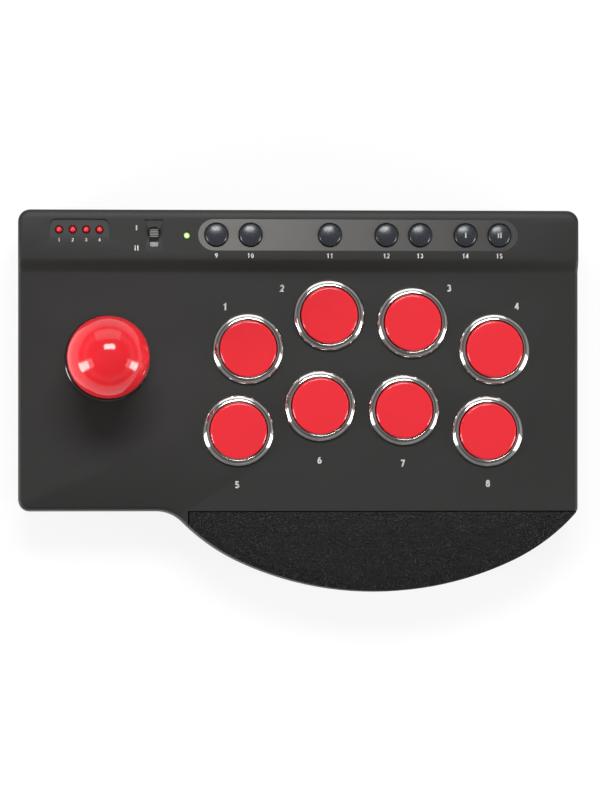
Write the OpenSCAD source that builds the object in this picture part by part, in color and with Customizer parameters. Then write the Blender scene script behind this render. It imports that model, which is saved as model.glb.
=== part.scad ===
// Compact arcade fight stick: a ball-top lever on the left, eight main buttons in chromed
// housings, a raised rear control strip and a leatherette wrist pad let into the curved front.
// Lengths are in millimetres and +Z is up. The feet stand on z = 0, and the origin lies under
// the middle of the case.

/* [Case] */
// Width of the case
case_w = 280; // [270:1:310]
// Depth from the rear edge to the front of the curved lobe
case_d = 190; // [184:1:205]
// Depth of the straight left side, for a case of the drawn depth
side_d = 149.2; // [144:0.2:156]
// Height of the deck above the table where it meets the rear step
deck_h = 50.5; // [49:0.5:64]
// Slope of the deck, falling towards the player
deck_tilt = 3; // [1:0.5:4]
// Thickness of the deck and of the strip
deck_t = 3; // [2.4:0.1:3.6]
// Thickness of the upright walls
wall_t = 2.6; // [2:0.1:3]
// Height of the line where the two case halves part
parting_h = 20; // [17:0.5:22]
// Radius of the upright rear corners
rear_corner_r = 6; // [5.6:0.1:9]
// Radius of the upright front corners
front_corner_r = 5.3; // [5:0.1:8]
// Radius of the rolled top edge at the sides and the front
edge_r = 1.8; // [1:0.1:2.4]
// Width of the rolled top edge along the rear
rear_roll_w = 4; // [2:0.1:5]

/* [Rear strip] */
// Depth of the raised strip, for a case of the drawn depth
strip_d = 24.4; // [24:0.2:30]
// How far the strip stands over the deck
strip_rise = 3.5; // [2:0.1:5]
// Length of the smooth ramp in front of the strip
step_run = 6.9; // [4:0.1:8]

/* [Front lobe] */
// Place of the middle of the lobe, to the right of the case's middle
lobe_x = 38.9; // [34:0.1:44]
// Radius of the middle of the lobe
lobe_r = 161; // [150:1:175]
// Half of the turn that the middle radius makes, in degrees
lobe_half_turn = 25; // [22:0.5:27]
// Radius of the two shoulders of the lobe
shoulder_r = 100; // [97:0.5:104]
// Radius of the hollow where the straight front runs into the lobe
waist_r = 18; // [10:0.5:24]

/* [Wrist pad] */
// Distance of the pad's left end from the case's middle
pad_left = 55.5; // [50:0.5:56]
// Distance of the pad's rear edge in front of the straight front edge
pad_setback = 0.6; // [0.4:0.1:4]
// Thickness of the pad at its edge
pad_t = 4; // [3:0.1:5]
// How far the middle of the pad rises over the deck
pad_crown = 1.1; // [0.4:0.1:2]
// Gap between the pad and its recess
pad_gap = 0.3; // [0.2:0.05:0.5]

/* [Main buttons] */
// Outer diameter of the chromed bezel
bezel_d = 36; // [34:0.5:38]
// Height of the bezel over the deck
bezel_h = 3.3; // [2.6:0.1:3.8]
// Inner diameter of the bezel and its barrel
bezel_bore = 29.3; // [29:0.1:30]
// Diameter of the barrel below the deck
barrel_d = 32; // [31.4:0.1:33]
// Depth of the barrel's floor below the deck
barrel_depth = 14; // [13:0.5:15]
// Diameter of the button cap
cap_d = 28.2; // [27:0.1:28.6]
// Height of the cap's edge over the deck at rest
cap_h = 5; // [4:0.1:6]
// Radius of the cap's rolled edge
cap_roll = 1.1; // [0.8:0.1:2.2]
// Travel of a main button
cap_travel = 3; // [2:0.1:3.6]

/* [Menu buttons] */
// Diameter of a small cap
menu_cap_d = 11; // [9:0.1:11.6]
// Diameter of the hole in the inlay round a small cap
menu_hole_d = 12.4; // [12:0.1:13]
// Height of a small cap's edge over the strip at rest
menu_cap_h = 1.2; // [0.9:0.1:1.8]
// Travel of a small button
menu_travel = 1; // [0.6:0.1:1.2]
// Length of the inlay plate
inlay_len = 160; // [156:1:164]
// Width of the inlay plate
inlay_w = 15.6; // [15:0.1:17]
// Thickness of the inlay plate
inlay_t = 1.2; // [0.8:0.1:1.5]

/* [Switch and lamps] */
// Travel of the slide switch
slide_travel = 2.2; // [2:0.1:3]
// Width of the slide knob
knob_w = 4.2; // [4:0.1:5]
// Length of the slide knob along its travel
knob_len = 3.9; // [3.6:0.1:5]
// Diameter of a lamp's lens
lamp_d = 3; // [2:0.1:3.4]

/* [Lever] */
// Diameter of the ball top
ball_d = 40.5; // [34:0.5:44]
// Height of the ball's middle over the deck
ball_h = 45; // [42:0.5:50]
// Diameter of the lever's shaft
shaft_d = 8; // [7:0.1:8.4]
// Diameter of the dust washer on the deck
dust_d = 42.8; // [40:0.2:46]
// Tilt of the lever each way, in degrees
lever_tilt = 9; // [6:0.5:9]
// Diameter of the pivot ball
pivot_d = 15; // [14.4:0.1:15.6]
// Depth of the pivot below the deck
pivot_depth = 13; // [12.8:0.1:13.4]

/* [Fastening] */
// Diameter of a rubber foot
foot_d = 14; // [10:0.5:18]
// Height of the case's underside above the table
foot_h = 3; // [2:0.5:4]
// Shank diameter of a case screw
case_screw_d = 3; // [2.5:0.1:3.5]
// Bore of the cable inlet in the rear wall
inlet_bore = 4.2; // [3.6:0.1:5]

/* [Hidden] */
$fn = 72;

// Overrun of a cut past the face that it opens
over = 1;
// Gap between pieces that lie one on the other and don't slide
seat_gap = 0.1;
// Gap under a piece that its neighbour holds loosely
loose_gap = 0.3;
// Radial gap of a running fit
run_gap = 0.08;
// Radial gap of a pressed or screwed fit, drawn open
press_gap = 0.04;

// The plan is drawn for a case of this size, and stretches with the case's own width and depth
drawn_size = [280, 190];
stretch = [case_w / drawn_size.x, case_d / drawn_size.y];
function stretched(p) = [p.x * stretch.x, p.y * stretch.y];
half_w = case_w / 2;
rear_y = case_d / 2;
front_y = -rear_y;
drawn_half_w = drawn_size.x / 2;
drawn_rear_y = drawn_size.y / 2;
drawn_side_y = drawn_rear_y - side_d;
drawn_step_top_y = drawn_rear_y - strip_d;
drawn_step_foot_y = drawn_step_top_y - step_run;
step_steps = 8;
drawn_step_ys = [for (i = [0:step_steps]) drawn_step_top_y - step_run * i / step_steps];
side_front_y = drawn_side_y * stretch.y;
step_top_y = drawn_step_top_y * stretch.y;
step_foot_y = drawn_step_foot_y * stretch.y;

// Case outline, as drawn
lobe_c = [lobe_x, lobe_r - drawn_rear_y];
shoulder_shift = lobe_r - shoulder_r;
shoulder_right = lobe_c + shoulder_shift * [sin(lobe_half_turn), -cos(lobe_half_turn)];
shoulder_left = lobe_c + shoulder_shift * [-sin(lobe_half_turn), -cos(lobe_half_turn)];
waist_y = drawn_side_y - waist_r;
waist_reach = shoulder_r + waist_r;
waist_x = shoulder_left.x - sqrt(pow(waist_reach, 2) - pow(shoulder_left.y - waist_y, 2));
waist_c = [waist_x, waist_y];
waist_turn = atan2(shoulder_left.y - waist_y, shoulder_left.x - waist_x);
nose_x = drawn_half_w - front_corner_r;
nose_reach = shoulder_r - front_corner_r;
nose_y = shoulder_right.y - sqrt(pow(nose_reach, 2) - pow(nose_x - shoulder_right.x, 2));
nose_c = [nose_x, nose_y];
nose_turn = atan2(nose_y - shoulder_right.y, nose_x - shoulder_right.x);
corner_steps = 8;
waist_steps = 10;
shoulder_steps = 12;
lobe_steps = 24;
roll_steps = 4;

// Base shell
parting_groove = 0.4;
base_taper = 2;
base_edge_r = 2.4;
floor_t = 2.5;
floor_z = foot_h + floor_t;
tongue_h = 2.5;

// Case screws and their bosses: places as shares of the half width and half depth
case_screw_shares = [
    [-0.915, 0.86], [0.915, 0.86], [-0.915, -0.44], [0.915, -0.44], [0.28, -0.87], [-0.12, 0.62]
];
case_screws_at = [for (s = case_screw_shares) [s.x * half_w, s.y * rear_y]];
case_screw_r = case_screw_d / 2;
case_boss_r = 4.6;
screw_head_r = 3;
screw_head_h = 2.2;
screw_head_gap = 0.3;
screw_sink = 8;
screw_bite = 12;
case_screw_len = parting_h - foot_h - screw_sink + screw_bite;
slot_w = 0.7;
slot_deep = 1;

// Rubber feet: places as shares of the half width and half depth
foot_shares = [[-0.86, 0.66], [0.86, 0.66], [-0.86, -0.26], [0.86, -0.34], [0.28, -0.7]];
feet_at = [for (s = foot_shares) [s.x * half_w, s.y * rear_y]];
foot_r = foot_d / 2;
foot_sink = 0.8;
foot_bevel = 0.8;

// Main buttons: drawn places, numbered from the left along the rear row, then the front row
drawn_button_places = [
    [-25.6, 26.0], [14.9, 42.7], [56.7, 39.1], [97.7, 25.9],
    [-30.4, -14.8], [10.4, -2.5], [52.4, -4.5], [94.3, -15.1]
];
button_places = [for (p = drawn_button_places) stretched(p)];
bezel_r = bezel_d / 2;
bore_r = bezel_bore / 2;
barrel_r = barrel_d / 2;
barrel_floor = 2;
barrel_hole_gap = 0.2;
bezel_side_h = 0.4;
bezel_crown_w = 4.7;
bezel_lip_r = 0.25;
bezel_steps = 12;
snap_out = 1.1;
snap_root = 0.6;
snap_h = 3.6;
snap_turn = 24;
cap_r = cap_d / 2;
cap_crown = 0.35;
cap_top_t = 2;
skirt_t = 1.6;
skirt_depth = 8;
stem_r = 3.2;
foot_flange_r = 4.3;
foot_flange_t = 1.2;
cap_foot_w = -barrel_depth - barrel_floor - loose_gap;

// Microswitch of a main button
switch_len = 19.8;
switch_w = 6.4;
switch_h = 10.2;
nub_h = 0.6;
nub_len = 3;
nub_w = 2.4;
nub_gap = 0.2;
lug_w = 3.2;
lug_t = 0.5;
lug_len = 3;
lug_pitch = 7;
nub_top_w = cap_foot_w - foot_flange_t - cap_travel - nub_gap;
switch_top_w = nub_top_w - nub_h;
cradle_t = 1.6;
cradle_w = 7;
cradle_toe = 0.9;
cradle_end_w = switch_top_w - switch_h - seat_gap - cradle_t;

// Rear strip
drawn_strip_mid_y = 82.6;
drawn_inlay_x = 29.4;
drawn_menu_xs = [-41.5, -24.5, 15.1, 43.4, 60.2, 83.0, 100.0];
strip_mid_y = drawn_strip_mid_y * stretch.y;
inlay_x = drawn_inlay_x * stretch.x;
inlay_size = [inlay_len * stretch.x, inlay_w];
menu_xs = drawn_menu_xs * stretch.x;
menu_r = menu_cap_d / 2;
menu_crown = 0.7;
menu_roll = 1.1;
menu_flange_out = 1.3;
menu_flange_t = 0.9;
menu_stem_r = 2;
menu_stem_len = 1.6;
menu_flange_w = -deck_t - loose_gap;
menu_foot_w = menu_flange_w - menu_flange_t - menu_stem_len;
dome_h = 1;
dome_r = 3;
dome_top_r = 2;
dome_sheet_t = 1;
dome_gap = 0.2;
dome_top_w = menu_foot_w - menu_travel - dome_gap;
board_top_w = dome_top_w - dome_h - dome_sheet_t;
board_t = 1.6;
drawn_board_d = 17;
drawn_board_xs = [-122.6, 113];
board_d = drawn_board_d * stretch.y;
board_x0 = drawn_board_xs[0] * stretch.x;
board_x1 = drawn_board_xs[1] * stretch.x;
dome_sheet_w = 11;
dome_sheet_side = 9;
post_r = 2.6;
drawn_post_xs = [-88, -8, 72, 110.5];
post_xs = drawn_post_xs * stretch.x;
drawn_post_shift = -6;
post_y_shift = drawn_post_shift * stretch.y;
board_screw_r = 1;
board_head_r = 1.9;
board_head_h = 1.4;
board_screw_bite = 4;

// Slide switch
drawn_slide_x = -72.5;
slide_x = drawn_slide_x * stretch.x;
slide_recess_w = 9.1;
slide_recess_len = 16;
slide_recess_shift = -0.5;
slide_recess_y = strip_mid_y + slide_recess_shift;
slide_recess_deep = 1;
scoop_r = 7;
scoop_deep = 1.6;
knob_shift = 0.8;
knob_y = strip_mid_y + knob_shift;
knob_gap = 0.25;
knob_top_w = 0.5;
ridge_w = 0.5;
ridge_deep = 0.4;
ridge_count = 3;
slide_body_w = 6.6;
slide_body_len = 13;
slide_body_h = 3.4;
slide_body_top_w = board_top_w + slide_body_h;
knob_foot_w = slide_body_top_w + loose_gap;
stop_len = 2.3;
stop_top_w = -0.9;
slot_rear_y = knob_y + knob_len / 2 + knob_gap;
stop_rear_y = knob_y - knob_len / 2 - slide_travel - loose_gap;
slot_len = slot_rear_y - stop_rear_y + stop_len + knob_gap;
slot_y = slot_rear_y - slot_len / 2;

// Lamps
drawn_player_lamp_xs = [-119.7, -112.9, -106.2, -99.6];
drawn_power_lamp_x = -56.2;
player_lamp_shift = 2.6;
power_lamp_shift = -0.4;
player_lamp_xs = drawn_player_lamp_xs * stretch.x;
player_lamp_y = strip_mid_y + player_lamp_shift;
power_lamp_at = [drawn_power_lamp_x * stretch.x, strip_mid_y + power_lamp_shift];
lamp_r = lamp_d / 2;
lamp_rise = 0.2;
lamp_funnel_out = 0.65;
lamp_funnel_deep = 0.9;
lamp_flange_out = 0.4;
lamp_flange_h = 1;
drawn_lamp_recess_xs = [-124.3, -94.8];
lamp_recess_shifts = [6.3, -2.2];
lamp_recess_x0 = drawn_lamp_recess_xs[0] * stretch.x;
lamp_recess_x1 = drawn_lamp_recess_xs[1] * stretch.x;
lamp_recess_rear_y = strip_mid_y + lamp_recess_shifts[0];
lamp_recess_front_y = strip_mid_y + lamp_recess_shifts[1];
lamp_recess_deep = 1;
lamp_recess_corner = 3;
lamp_recess_run = lamp_recess_rear_y - lamp_recess_front_y;
player_lamp_floor_w =
    -lamp_recess_deep * (player_lamp_y - lamp_recess_front_y) / lamp_recess_run;

// Lever, in heights over the deck along the shaft
drawn_stick_at = [-95.7, 21.2];
stick_at = stretched(drawn_stick_at);
shaft_r = shaft_d / 2;
ball_r = ball_d / 2;
ball_flat_r = 8;
ball_flat_h = ball_h - sqrt(pow(ball_r, 2) - pow(ball_flat_r, 2));
stud_r = 3;
stud_len = 22;
pivot_w = -pivot_depth;
pivot_r = pivot_d / 2;
diagonal_stretch = 1 / cos(lever_tilt);
lean = tan(lever_tilt) * diagonal_stretch;
leaning_shaft_r = shaft_r * diagonal_stretch;
dust_r = dust_d / 2;
dust_t = 1.6;
dust_hole_r = leaning_shaft_r + dust_t * lean + loose_gap;
dust_bevel = 0.5;
deck_hole_room = 2.2;
deck_hole_r = leaning_shaft_r + pivot_depth * lean + deck_hole_room;
plate_t = 1.2;
plate_top_w = -6;
plate_w = 62;
plate_corner = 5;
stick_boss_r = 4;
stick_boss_at = 26;
stick_screw_r = 1.5;
stick_screw_bite = 2.4;
stick_head_r = 2.8;
stick_head_h = 1.8;
lower_t = 1.2;
lower_r = 13;
lower_w = plate_top_w + loose_gap;
dust_shift = (pivot_depth + loose_gap + dust_t / 2) * lean;
lower_lag = dust_shift - (pivot_depth + lower_w) * lean;
lower_lead = (pivot_depth + lower_w + lower_t) * lean;
lower_hole_r = leaning_shaft_r + norm([lower_lag, lower_lead]) + loose_gap;
plate_bottom_w = plate_top_w - plate_t;
corner_lean = lean * sqrt(2);
plate_hole_r = leaning_shaft_r + (pivot_depth + plate_top_w) * corner_lean + loose_gap;
housing_top_w = plate_bottom_w;
housing_flange_t = 2.4;
housing_w = 46;
housing_corner = 6;
seat_open_r = 5.6;
ledge_w = -18.6;
well_r = 14.6;
housing_bottom_w = -31;
spring_wire_r = 0.5;
spring_mean_r = 8.6;
spring_turns = 4;
spring_len = 7.4;
spring_top_w = ledge_w - loose_gap;
spring_bottom_w = spring_top_w - spring_len;
actuator_top_w = spring_bottom_w - seat_gap;
actuator_flange_r = 10.4;
actuator_flange_t = 1.4;
actuator_r = 8;
actuator_bottom_w = -37;
gate_t = 2;
gate_bottom_w = housing_bottom_w - gate_t;
gate_half = (actuator_r + (gate_bottom_w - pivot_w) * -lean) * diagonal_stretch + nub_gap;
gate_corner = 5;
gate_w = 48;
stick_switch_len = 19.8;
stick_switch_deep = 10;
stick_switch_h = 5.8;
stick_switch_top_w = gate_bottom_w - seat_gap;
stick_nub_w = stick_switch_top_w - stick_switch_h / 2;
stick_nub_in = (actuator_r + (stick_nub_w - pivot_w) * -lean) * diagonal_stretch + nub_gap;
stick_nub_len = 1.2;
stick_lug_len = 3;
clip_top_w = actuator_bottom_w - seat_gap;
clip_t = 0.8;
clip_r = 6.4;
groove_r = 3.2;
shaft_bottom_w = -39.4;
shaft_bevel = 0.6;
gate_screw_at = 19.5;
gate_screw_r = 1.2;
gate_head_r = 2.2;
gate_head_h = 1.5;
gate_screw_bite = 6;

// Boards and the cable inlet
main_board_w = 84;
main_board_d = 22;
drawn_main_board_at = [46, -66];
main_board_at = stretched(drawn_main_board_at);
standoff_h = 4;
standoff_r = 2.5;
chip_w = 12;
chip_h = 1.4;
socket_w = 8;
socket_d = 5;
socket_h = 6;
inlet_x = 0;
inlet_z = 33;
inlet_r = 4.5;
inlet_flange_r = 6.2;
inlet_flange_t = 1.4;
inlet_len = 8;
inlet_r_bore = inlet_bore / 2;

// Colours as the photograph shows them
shell_black = "#3a3938";
base_black = "#2c2b2b";
pad_black = "#262626";
inlay_grey = "#6f6d6a";
cap_red = "#dc3740";
ball_red = "#e34b4c";
chrome_grey = "#c9cacc";
gloss_black = "#141414";
rubber_black = "#1b1b1b";
steel_grey = "#9a9ca0";
board_green = "#2c5a3a";
nylon_white = "#e6e2d8";
lamp_red = "#ff2a30";
lamp_green = "#b8ff8a";

// Points of an arc. The open form leaves out the last point, where the next arc starts
function arc(c, r, from, to, steps) =
    [for (i = [0:steps]) let (a = from + (to - from) * i / steps) c + r * [cos(a), sin(a)]];
function open_arc(c, r, from, to, steps) =
    [for (i = [0:steps - 1]) let (a = from + (to - from) * i / steps) c + r * [cos(a), sin(a)]];
// Points of a rear corner, whose inset towards the rear may differ from the one at the side
function rear_corner(side, inset, rear_inset) =
    [for (i = [0:corner_steps]) let (a = 90 * i / corner_steps, b = side > 0 ? a : 90 - a)
        [side * (drawn_half_w - rear_corner_r + (rear_corner_r - inset) * cos(b)),
         drawn_rear_y - rear_corner_r + (rear_corner_r - rear_inset) * sin(b)]];

// The case outline seen from above, drawn in by an inset, counter-clockwise from the rear right
function outline(inset, rear_inset) =
    [for (p = drawn_outline(inset / stretch.x, rear_inset / stretch.y)) stretched(p)];
function drawn_outline(inset, rear_inset) = concat(
    rear_corner(1, inset, rear_inset),
    rear_corner(-1, inset, rear_inset),
    [for (y = drawn_step_ys) [-drawn_half_w + inset, y]],
    arc([-drawn_half_w + front_corner_r, drawn_side_y + front_corner_r],
        front_corner_r - inset, 180, 270, corner_steps),
    open_arc(waist_c, waist_r + inset, 90, waist_turn, waist_steps),
    open_arc(shoulder_left, shoulder_r - inset, 180 + waist_turn, 270 - lobe_half_turn,
        shoulder_steps),
    open_arc(lobe_c, lobe_r - inset, 270 - lobe_half_turn, 270 + lobe_half_turn, lobe_steps),
    open_arc(shoulder_right, shoulder_r - inset, 270 + lobe_half_turn, 360 + nose_turn,
        shoulder_steps),
    arc(nose_c, front_corner_r - inset, nose_turn, 0, corner_steps),
    [for (y = backwards(drawn_step_ys)) [drawn_half_w - inset, y]]
);

// Height of the deck, and of whatever is on top there: deck, smooth ramp or strip
function deck_z(y) = deck_h + (y - step_foot_y) * tan(deck_tilt);
function ramp_share(y) = max(0, min(1, (y - step_foot_y) / (step_top_y - step_foot_y)));
function top_z(y) = deck_z(y) + strip_rise * (1 - cos(180 * ramp_share(y))) / 2;
function flat_ring(inset, z) = [for (p = outline(inset, inset)) [p.x, p.y, z]];
function top_ring(inset, rear_inset, drop) =
    [for (p = outline(inset, rear_inset)) [p.x, p.y, top_z(p.y) - drop]];

// A solid between rings of equally many points. Its top is made of the parts listed, each a
// run of points that lie in one plane. A flat cap fans out from its first point, so that point
// lies on no straight edge that holds two others
function ring_sides(n, layers) =
    [for (k = [0:layers - 2], i = [0:n - 1]) let (j = (i + 1) % n)
        [k * n + i, (k + 1) * n + i, (k + 1) * n + j, k * n + j]];
function backwards(list) = [for (i = [len(list) - 1:-1:0]) list[i]];
function whole_ring(n, first) = [for (i = [0:n - 1]) (i + first) % n];
module loft(rings, tops, first = 0) {
    n = len(rings[0]);
    last = (len(rings) - 1) * n;
    caps = [for (t = tops) backwards([for (i = t) last + i])];
    polyhedron(
        points = [for (r = rings) each r],
        faces = concat([whole_ring(n, first)], ring_sides(n, len(rings)), caps)
    );
}
outline_n = len(outline(0, 0));
left_step_top = 2 * corner_steps + 2;
cap_start = corner_steps + 1 + floor(corner_steps / 2);
flat_tops = [whole_ring(outline_n, cap_start)];
stepped_tops = concat(
    [concat([outline_n - 1], [for (i = [0:left_step_top]) i])],
    [for (k = [0:step_steps - 1]) let (left = left_step_top + k, right = outline_n - 1 - k)
        [left, left + 1, right - 1, right]],
    [[for (i = [left_step_top + step_steps:outline_n - 1 - step_steps]) i]]
);

// Frames on the tilted deck and on the strip, at a place seen from above
module on_deck(at) {
    translate([at.x, at.y, deck_z(at.y)]) rotate([deck_tilt, 0, 0]) children();
}
module on_strip(at) {
    translate([at.x, at.y, deck_z(at.y)]) rotate([deck_tilt, 0, 0])
        translate([0, 0, strip_rise * cos(deck_tilt)]) children();
}

// Small shared forms
module tube_span(r, from, to) {
    translate([0, 0, from]) cylinder(r = r, h = to - from);
}
module block(size, from, to) {
    translate([-size.x / 2, -size.y / 2, from]) cube([size.x, size.y, to - from]);
}
module round_plate(size, corner, from, to) {
    translate([0, 0, from]) linear_extrude(to - from) rounded(size, corner);
}
module rounded(size, corner) {
    inner = [size.x / 2 - corner, size.y / 2 - corner];
    polygon(concat(
        arc(inner, corner, 0, 90, corner_steps),
        arc([-inner.x, inner.y], corner, 90, 180, corner_steps),
        arc(-inner, corner, 180, 270, corner_steps),
        arc([inner.x, -inner.y], corner, 270, 360, corner_steps)
    ));
}
module screw(shank_r, shank_len, head_r, head_h) {
    rotate_extrude() polygon([
        [0, shank_len], [shank_r - slot_w / 2, shank_len], [shank_r, shank_len - slot_w / 2],
        [shank_r, 0], [head_r, 0], [head_r, -head_h + slot_w / 2], [head_r - slot_w, -head_h],
        [slot_w, -head_h], [0, -head_h + slot_deep]
    ]);
}

// Top case half
module top_outer() {
    loft(concat(
        [flat_ring(parting_groove, parting_h), flat_ring(0, parting_h + parting_groove)],
        [for (i = [0:roll_steps]) let (a = 90 * i / roll_steps, w = 1 - cos(a))
            top_ring(edge_r * w, rear_roll_w * w, edge_r * (1 - sin(a)))]
    ), stepped_tops, cap_start);
}
pad_rear_y = side_front_y - pad_setback;
pad_left_x = -pad_left * stretch.x;
pad_floor_t = 2.4;
module outline_prism(inset, from, to) {
    translate([0, 0, from]) linear_extrude(to - from) polygon(outline(inset, inset));
}
// Everything under the deck, the step and the strip, cut off at a depth below their surface
module under_deck(drop) {
    translate([-case_w, 0, 0]) rotate([90, 0, 90]) linear_extrude(2 * case_w) polygon([
        [front_y - case_d, 0], [rear_y + case_d, 0],
        [rear_y + case_d, top_z(rear_y + case_d) - drop],
        [step_top_y, top_z(step_top_y) - drop], [step_foot_y, top_z(step_foot_y) - drop],
        [front_y - case_d, top_z(front_y - case_d) - drop]
    ]);
}
module top_cavity() {
    difference() {
        intersection() {
            outline_prism(wall_t, parting_h - over, 2 * deck_h);
            under_deck(deck_t);
        }
        on_deck([0, pad_rear_y])
            translate([pad_left_x - pad_floor_t, -case_d, -pad_t - pad_floor_t])
                cube([case_w, case_d + pad_floor_t, pad_t + pad_floor_t]);
    }
}
module pad_recess() {
    on_deck([0, pad_rear_y]) translate([pad_left_x, -case_d, -pad_t])
        cube([case_w, case_d, pad_t + strip_rise + over]);
}
module case_bosses_top() {
    for (p = case_screws_at) {
        translate([p.x, p.y, parting_h])
            cylinder(r = case_boss_r, h = boss_top_z(p) - parting_h);
    }
}
// A boss in the lobe ends in the floor of the pad's recess, the others end in the deck
function boss_top_z(p) =
    p.y < pad_rear_y ? deck_z(p.y) - pad_t - pad_floor_t / 2 : top_z(p.y) - deck_t / 2;
module case_pilots() {
    for (p = case_screws_at) {
        translate([p.x, p.y, parting_h - over])
            cylinder(r = case_screw_r + press_gap, h = screw_bite + 2 * over);
    }
}
module stick_bosses(r, from, to) {
    for (sx = [-1, 1], sy = [-1, 1]) {
        translate([sx * stick_boss_at, sy * stick_boss_at, 0]) tube_span(r, from, to);
    }
}
module board_posts(r, from, to) {
    for (x = post_xs) {
        on_strip([x, strip_mid_y + post_y_shift]) tube_span(r, from, to);
    }
}
module lamp_recess() {
    span = lamp_recess_x1 - lamp_recess_x0;
    on_strip([(lamp_recess_x0 + lamp_recess_x1) / 2, lamp_recess_front_y])
        rotate([-atan(lamp_recess_deep / lamp_recess_run), 0, 0])
            translate([0, lamp_recess_run / 2, 0])
                round_plate([span, lamp_recess_run + lamp_recess_corner], lamp_recess_corner,
                    0, strip_rise);
}
// The hole of a lamp, with a funnel that opens at the surface
module lamp_hole(at, surface_w) {
    hole_r = lamp_r + run_gap;
    on_strip(at) {
        tube_span(hole_r, -deck_t - over, surface_w + over);
        translate([0, 0, surface_w - lamp_funnel_deep])
            cylinder(r1 = hole_r, r2 = hole_r + 2 * lamp_funnel_out, h = 2 * lamp_funnel_deep);
    }
}
module slide_recess() {
    on_strip([slide_x, slide_recess_y - slide_recess_len / 2])
        rotate([-atan(slide_recess_deep / slide_recess_len), 0, 0])
            translate([0, slide_recess_len / 2, 0])
                block([slide_recess_w, slide_recess_len], 0, strip_rise);
    on_strip([slide_x, knob_y])
        translate([0, 0, scoop_r - scoop_deep]) sphere(r = scoop_r);
    on_strip([slide_x, slot_y])
        block([knob_w + 2 * knob_gap, slot_len], -deck_t - over, over);
}
module top_shell() {
    color(shell_black) difference() {
        union() {
            difference() {
                top_outer();
                top_cavity();
            }
            case_bosses_top();
            on_deck(stick_at) stick_bosses(stick_boss_r, plate_top_w, -deck_t / 2);
            board_posts(post_r, board_top_w, -deck_t / 2);
        }
        pad_recess();
        case_pilots();
        for (p = button_places) {
            on_deck(p) tube_span(barrel_r + barrel_hole_gap, -deck_t - over, over);
        }
        on_deck(stick_at) tube_span(deck_hole_r, -deck_t - over, over);
        on_deck(stick_at)
            stick_bosses(stick_screw_r + press_gap, plate_top_w - over,
                plate_top_w + stick_screw_bite + press_gap);
        board_posts(board_screw_r + press_gap, board_top_w - over,
            board_top_w + board_screw_bite + press_gap);
        on_strip([inlay_x, strip_mid_y])
            round_plate(inlay_size + inlay_fit, inlay_w / 2, -inlay_t, over);
        for (x = menu_xs) {
            on_strip([x, strip_mid_y]) tube_span(menu_r + run_gap, -deck_t - over, over);
        }
        lamp_recess();
        for (x = player_lamp_xs) {
            lamp_hole([x, player_lamp_y], player_lamp_floor_w);
        }
        lamp_hole(power_lamp_at, 0);
        slide_recess();
        translate([inlet_x, rear_y + over, inlet_z]) rotate([90, 0, 0])
            cylinder(r = inlet_r + press_gap, h = wall_t + 2 * over);
    }
}
inlay_fit = [2 * seat_gap, 2 * seat_gap];

// Bottom case half
module base_outer() {
    loft(concat(
        [for (i = [0:roll_steps]) let (a = 90 * i / roll_steps)
            flat_ring(base_taper + base_edge_r * (1 - sin(a)),
                foot_h + base_edge_r * (1 - cos(a)))],
        [flat_ring(0, parting_h - parting_groove), flat_ring(parting_groove, parting_h)]
    ), flat_tops, cap_start);
}
base_inner = base_taper + wall_t;
module tongue() {
    difference() {
        outline_prism(wall_t + seat_gap, parting_h - tongue_h, parting_h + tongue_h);
        for (p = case_screws_at) {
            translate([p.x, p.y, parting_h])
                cylinder(r = case_boss_r + loose_gap, h = tongue_h + over);
        }
    }
}
module base_shell() {
    color(base_black) difference() {
        union() {
            difference() {
                union() {
                    base_outer();
                    tongue();
                }
                outline_prism(base_inner, floor_z, parting_h + tongue_h + over);
            }
            for (p = case_screws_at) {
                translate([p.x, p.y, foot_h + floor_t / 2])
                    cylinder(r = case_boss_r, h = parting_h - foot_h - floor_t / 2);
            }
            main_board_corners() translate([0, 0, floor_z - floor_t / 2])
                cylinder(r = standoff_r, h = standoff_h + floor_t / 2);
        }
        for (p = case_screws_at) {
            translate([p.x, p.y, foot_h - over])
                cylinder(r = screw_head_r + screw_head_gap, h = screw_sink + over);
            translate([p.x, p.y, foot_h])
                cylinder(r = case_screw_r + screw_head_gap, h = parting_h - foot_h + over);
        }
        for (p = feet_at) {
            translate([p.x, p.y, foot_h - over])
                cylinder(r = foot_r + seat_gap, h = over + foot_sink);
        }
    }
}
module rubber_feet() {
    color(rubber_black) for (p = feet_at) {
        translate([p.x, p.y, 0]) rotate_extrude() polygon([
            [0, 0], [foot_r - foot_bevel, 0], [foot_r, foot_bevel],
            [foot_r, foot_h + foot_sink], [0, foot_h + foot_sink]
        ]);
    }
}
module case_screws() {
    color(steel_grey) for (p = case_screws_at) {
        translate([p.x, p.y, foot_h + screw_sink])
            screw(case_screw_r, case_screw_len, screw_head_r, screw_head_h);
    }
}

// Wrist pad: the lobe's outline cut off at the pad's rear and left edges, drawn towards a spine
// as it rises over its rolled edge to a low crown
pad_inset = 0.15;
pad_x0 = pad_left_x + pad_gap;
pad_y1 = pad_rear_y - pad_gap;
pad_spine_y = (pad_rear_y + front_y) / 2;
pad_spine_reach_share = 0.62;
pad_roll_shares = [0, 0, 0.03, 0.09, 0.2, 0.4, 0.66];
pad_rise_shares = [-3.6, -1.4, -0.45, 0.25, 0.62, 0.86, 1];
function pad_edge() = concat(
    [[pad_x0, pad_y1], [pad_x0, stretch.y * (shoulder_left.y
        - sqrt(pow(shoulder_r - pad_inset, 2) - pow(pad_x0 / stretch.x - shoulder_left.x, 2)))]],
    [for (p = outline(pad_inset, pad_inset)) if (p.y < pad_y1 && p.x > pad_x0) p],
    [[stretch.x * (nose_x
        + sqrt(pow(front_corner_r - pad_inset, 2) - pow(pad_y1 / stretch.y - nose_y, 2))), pad_y1]]
);
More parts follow.
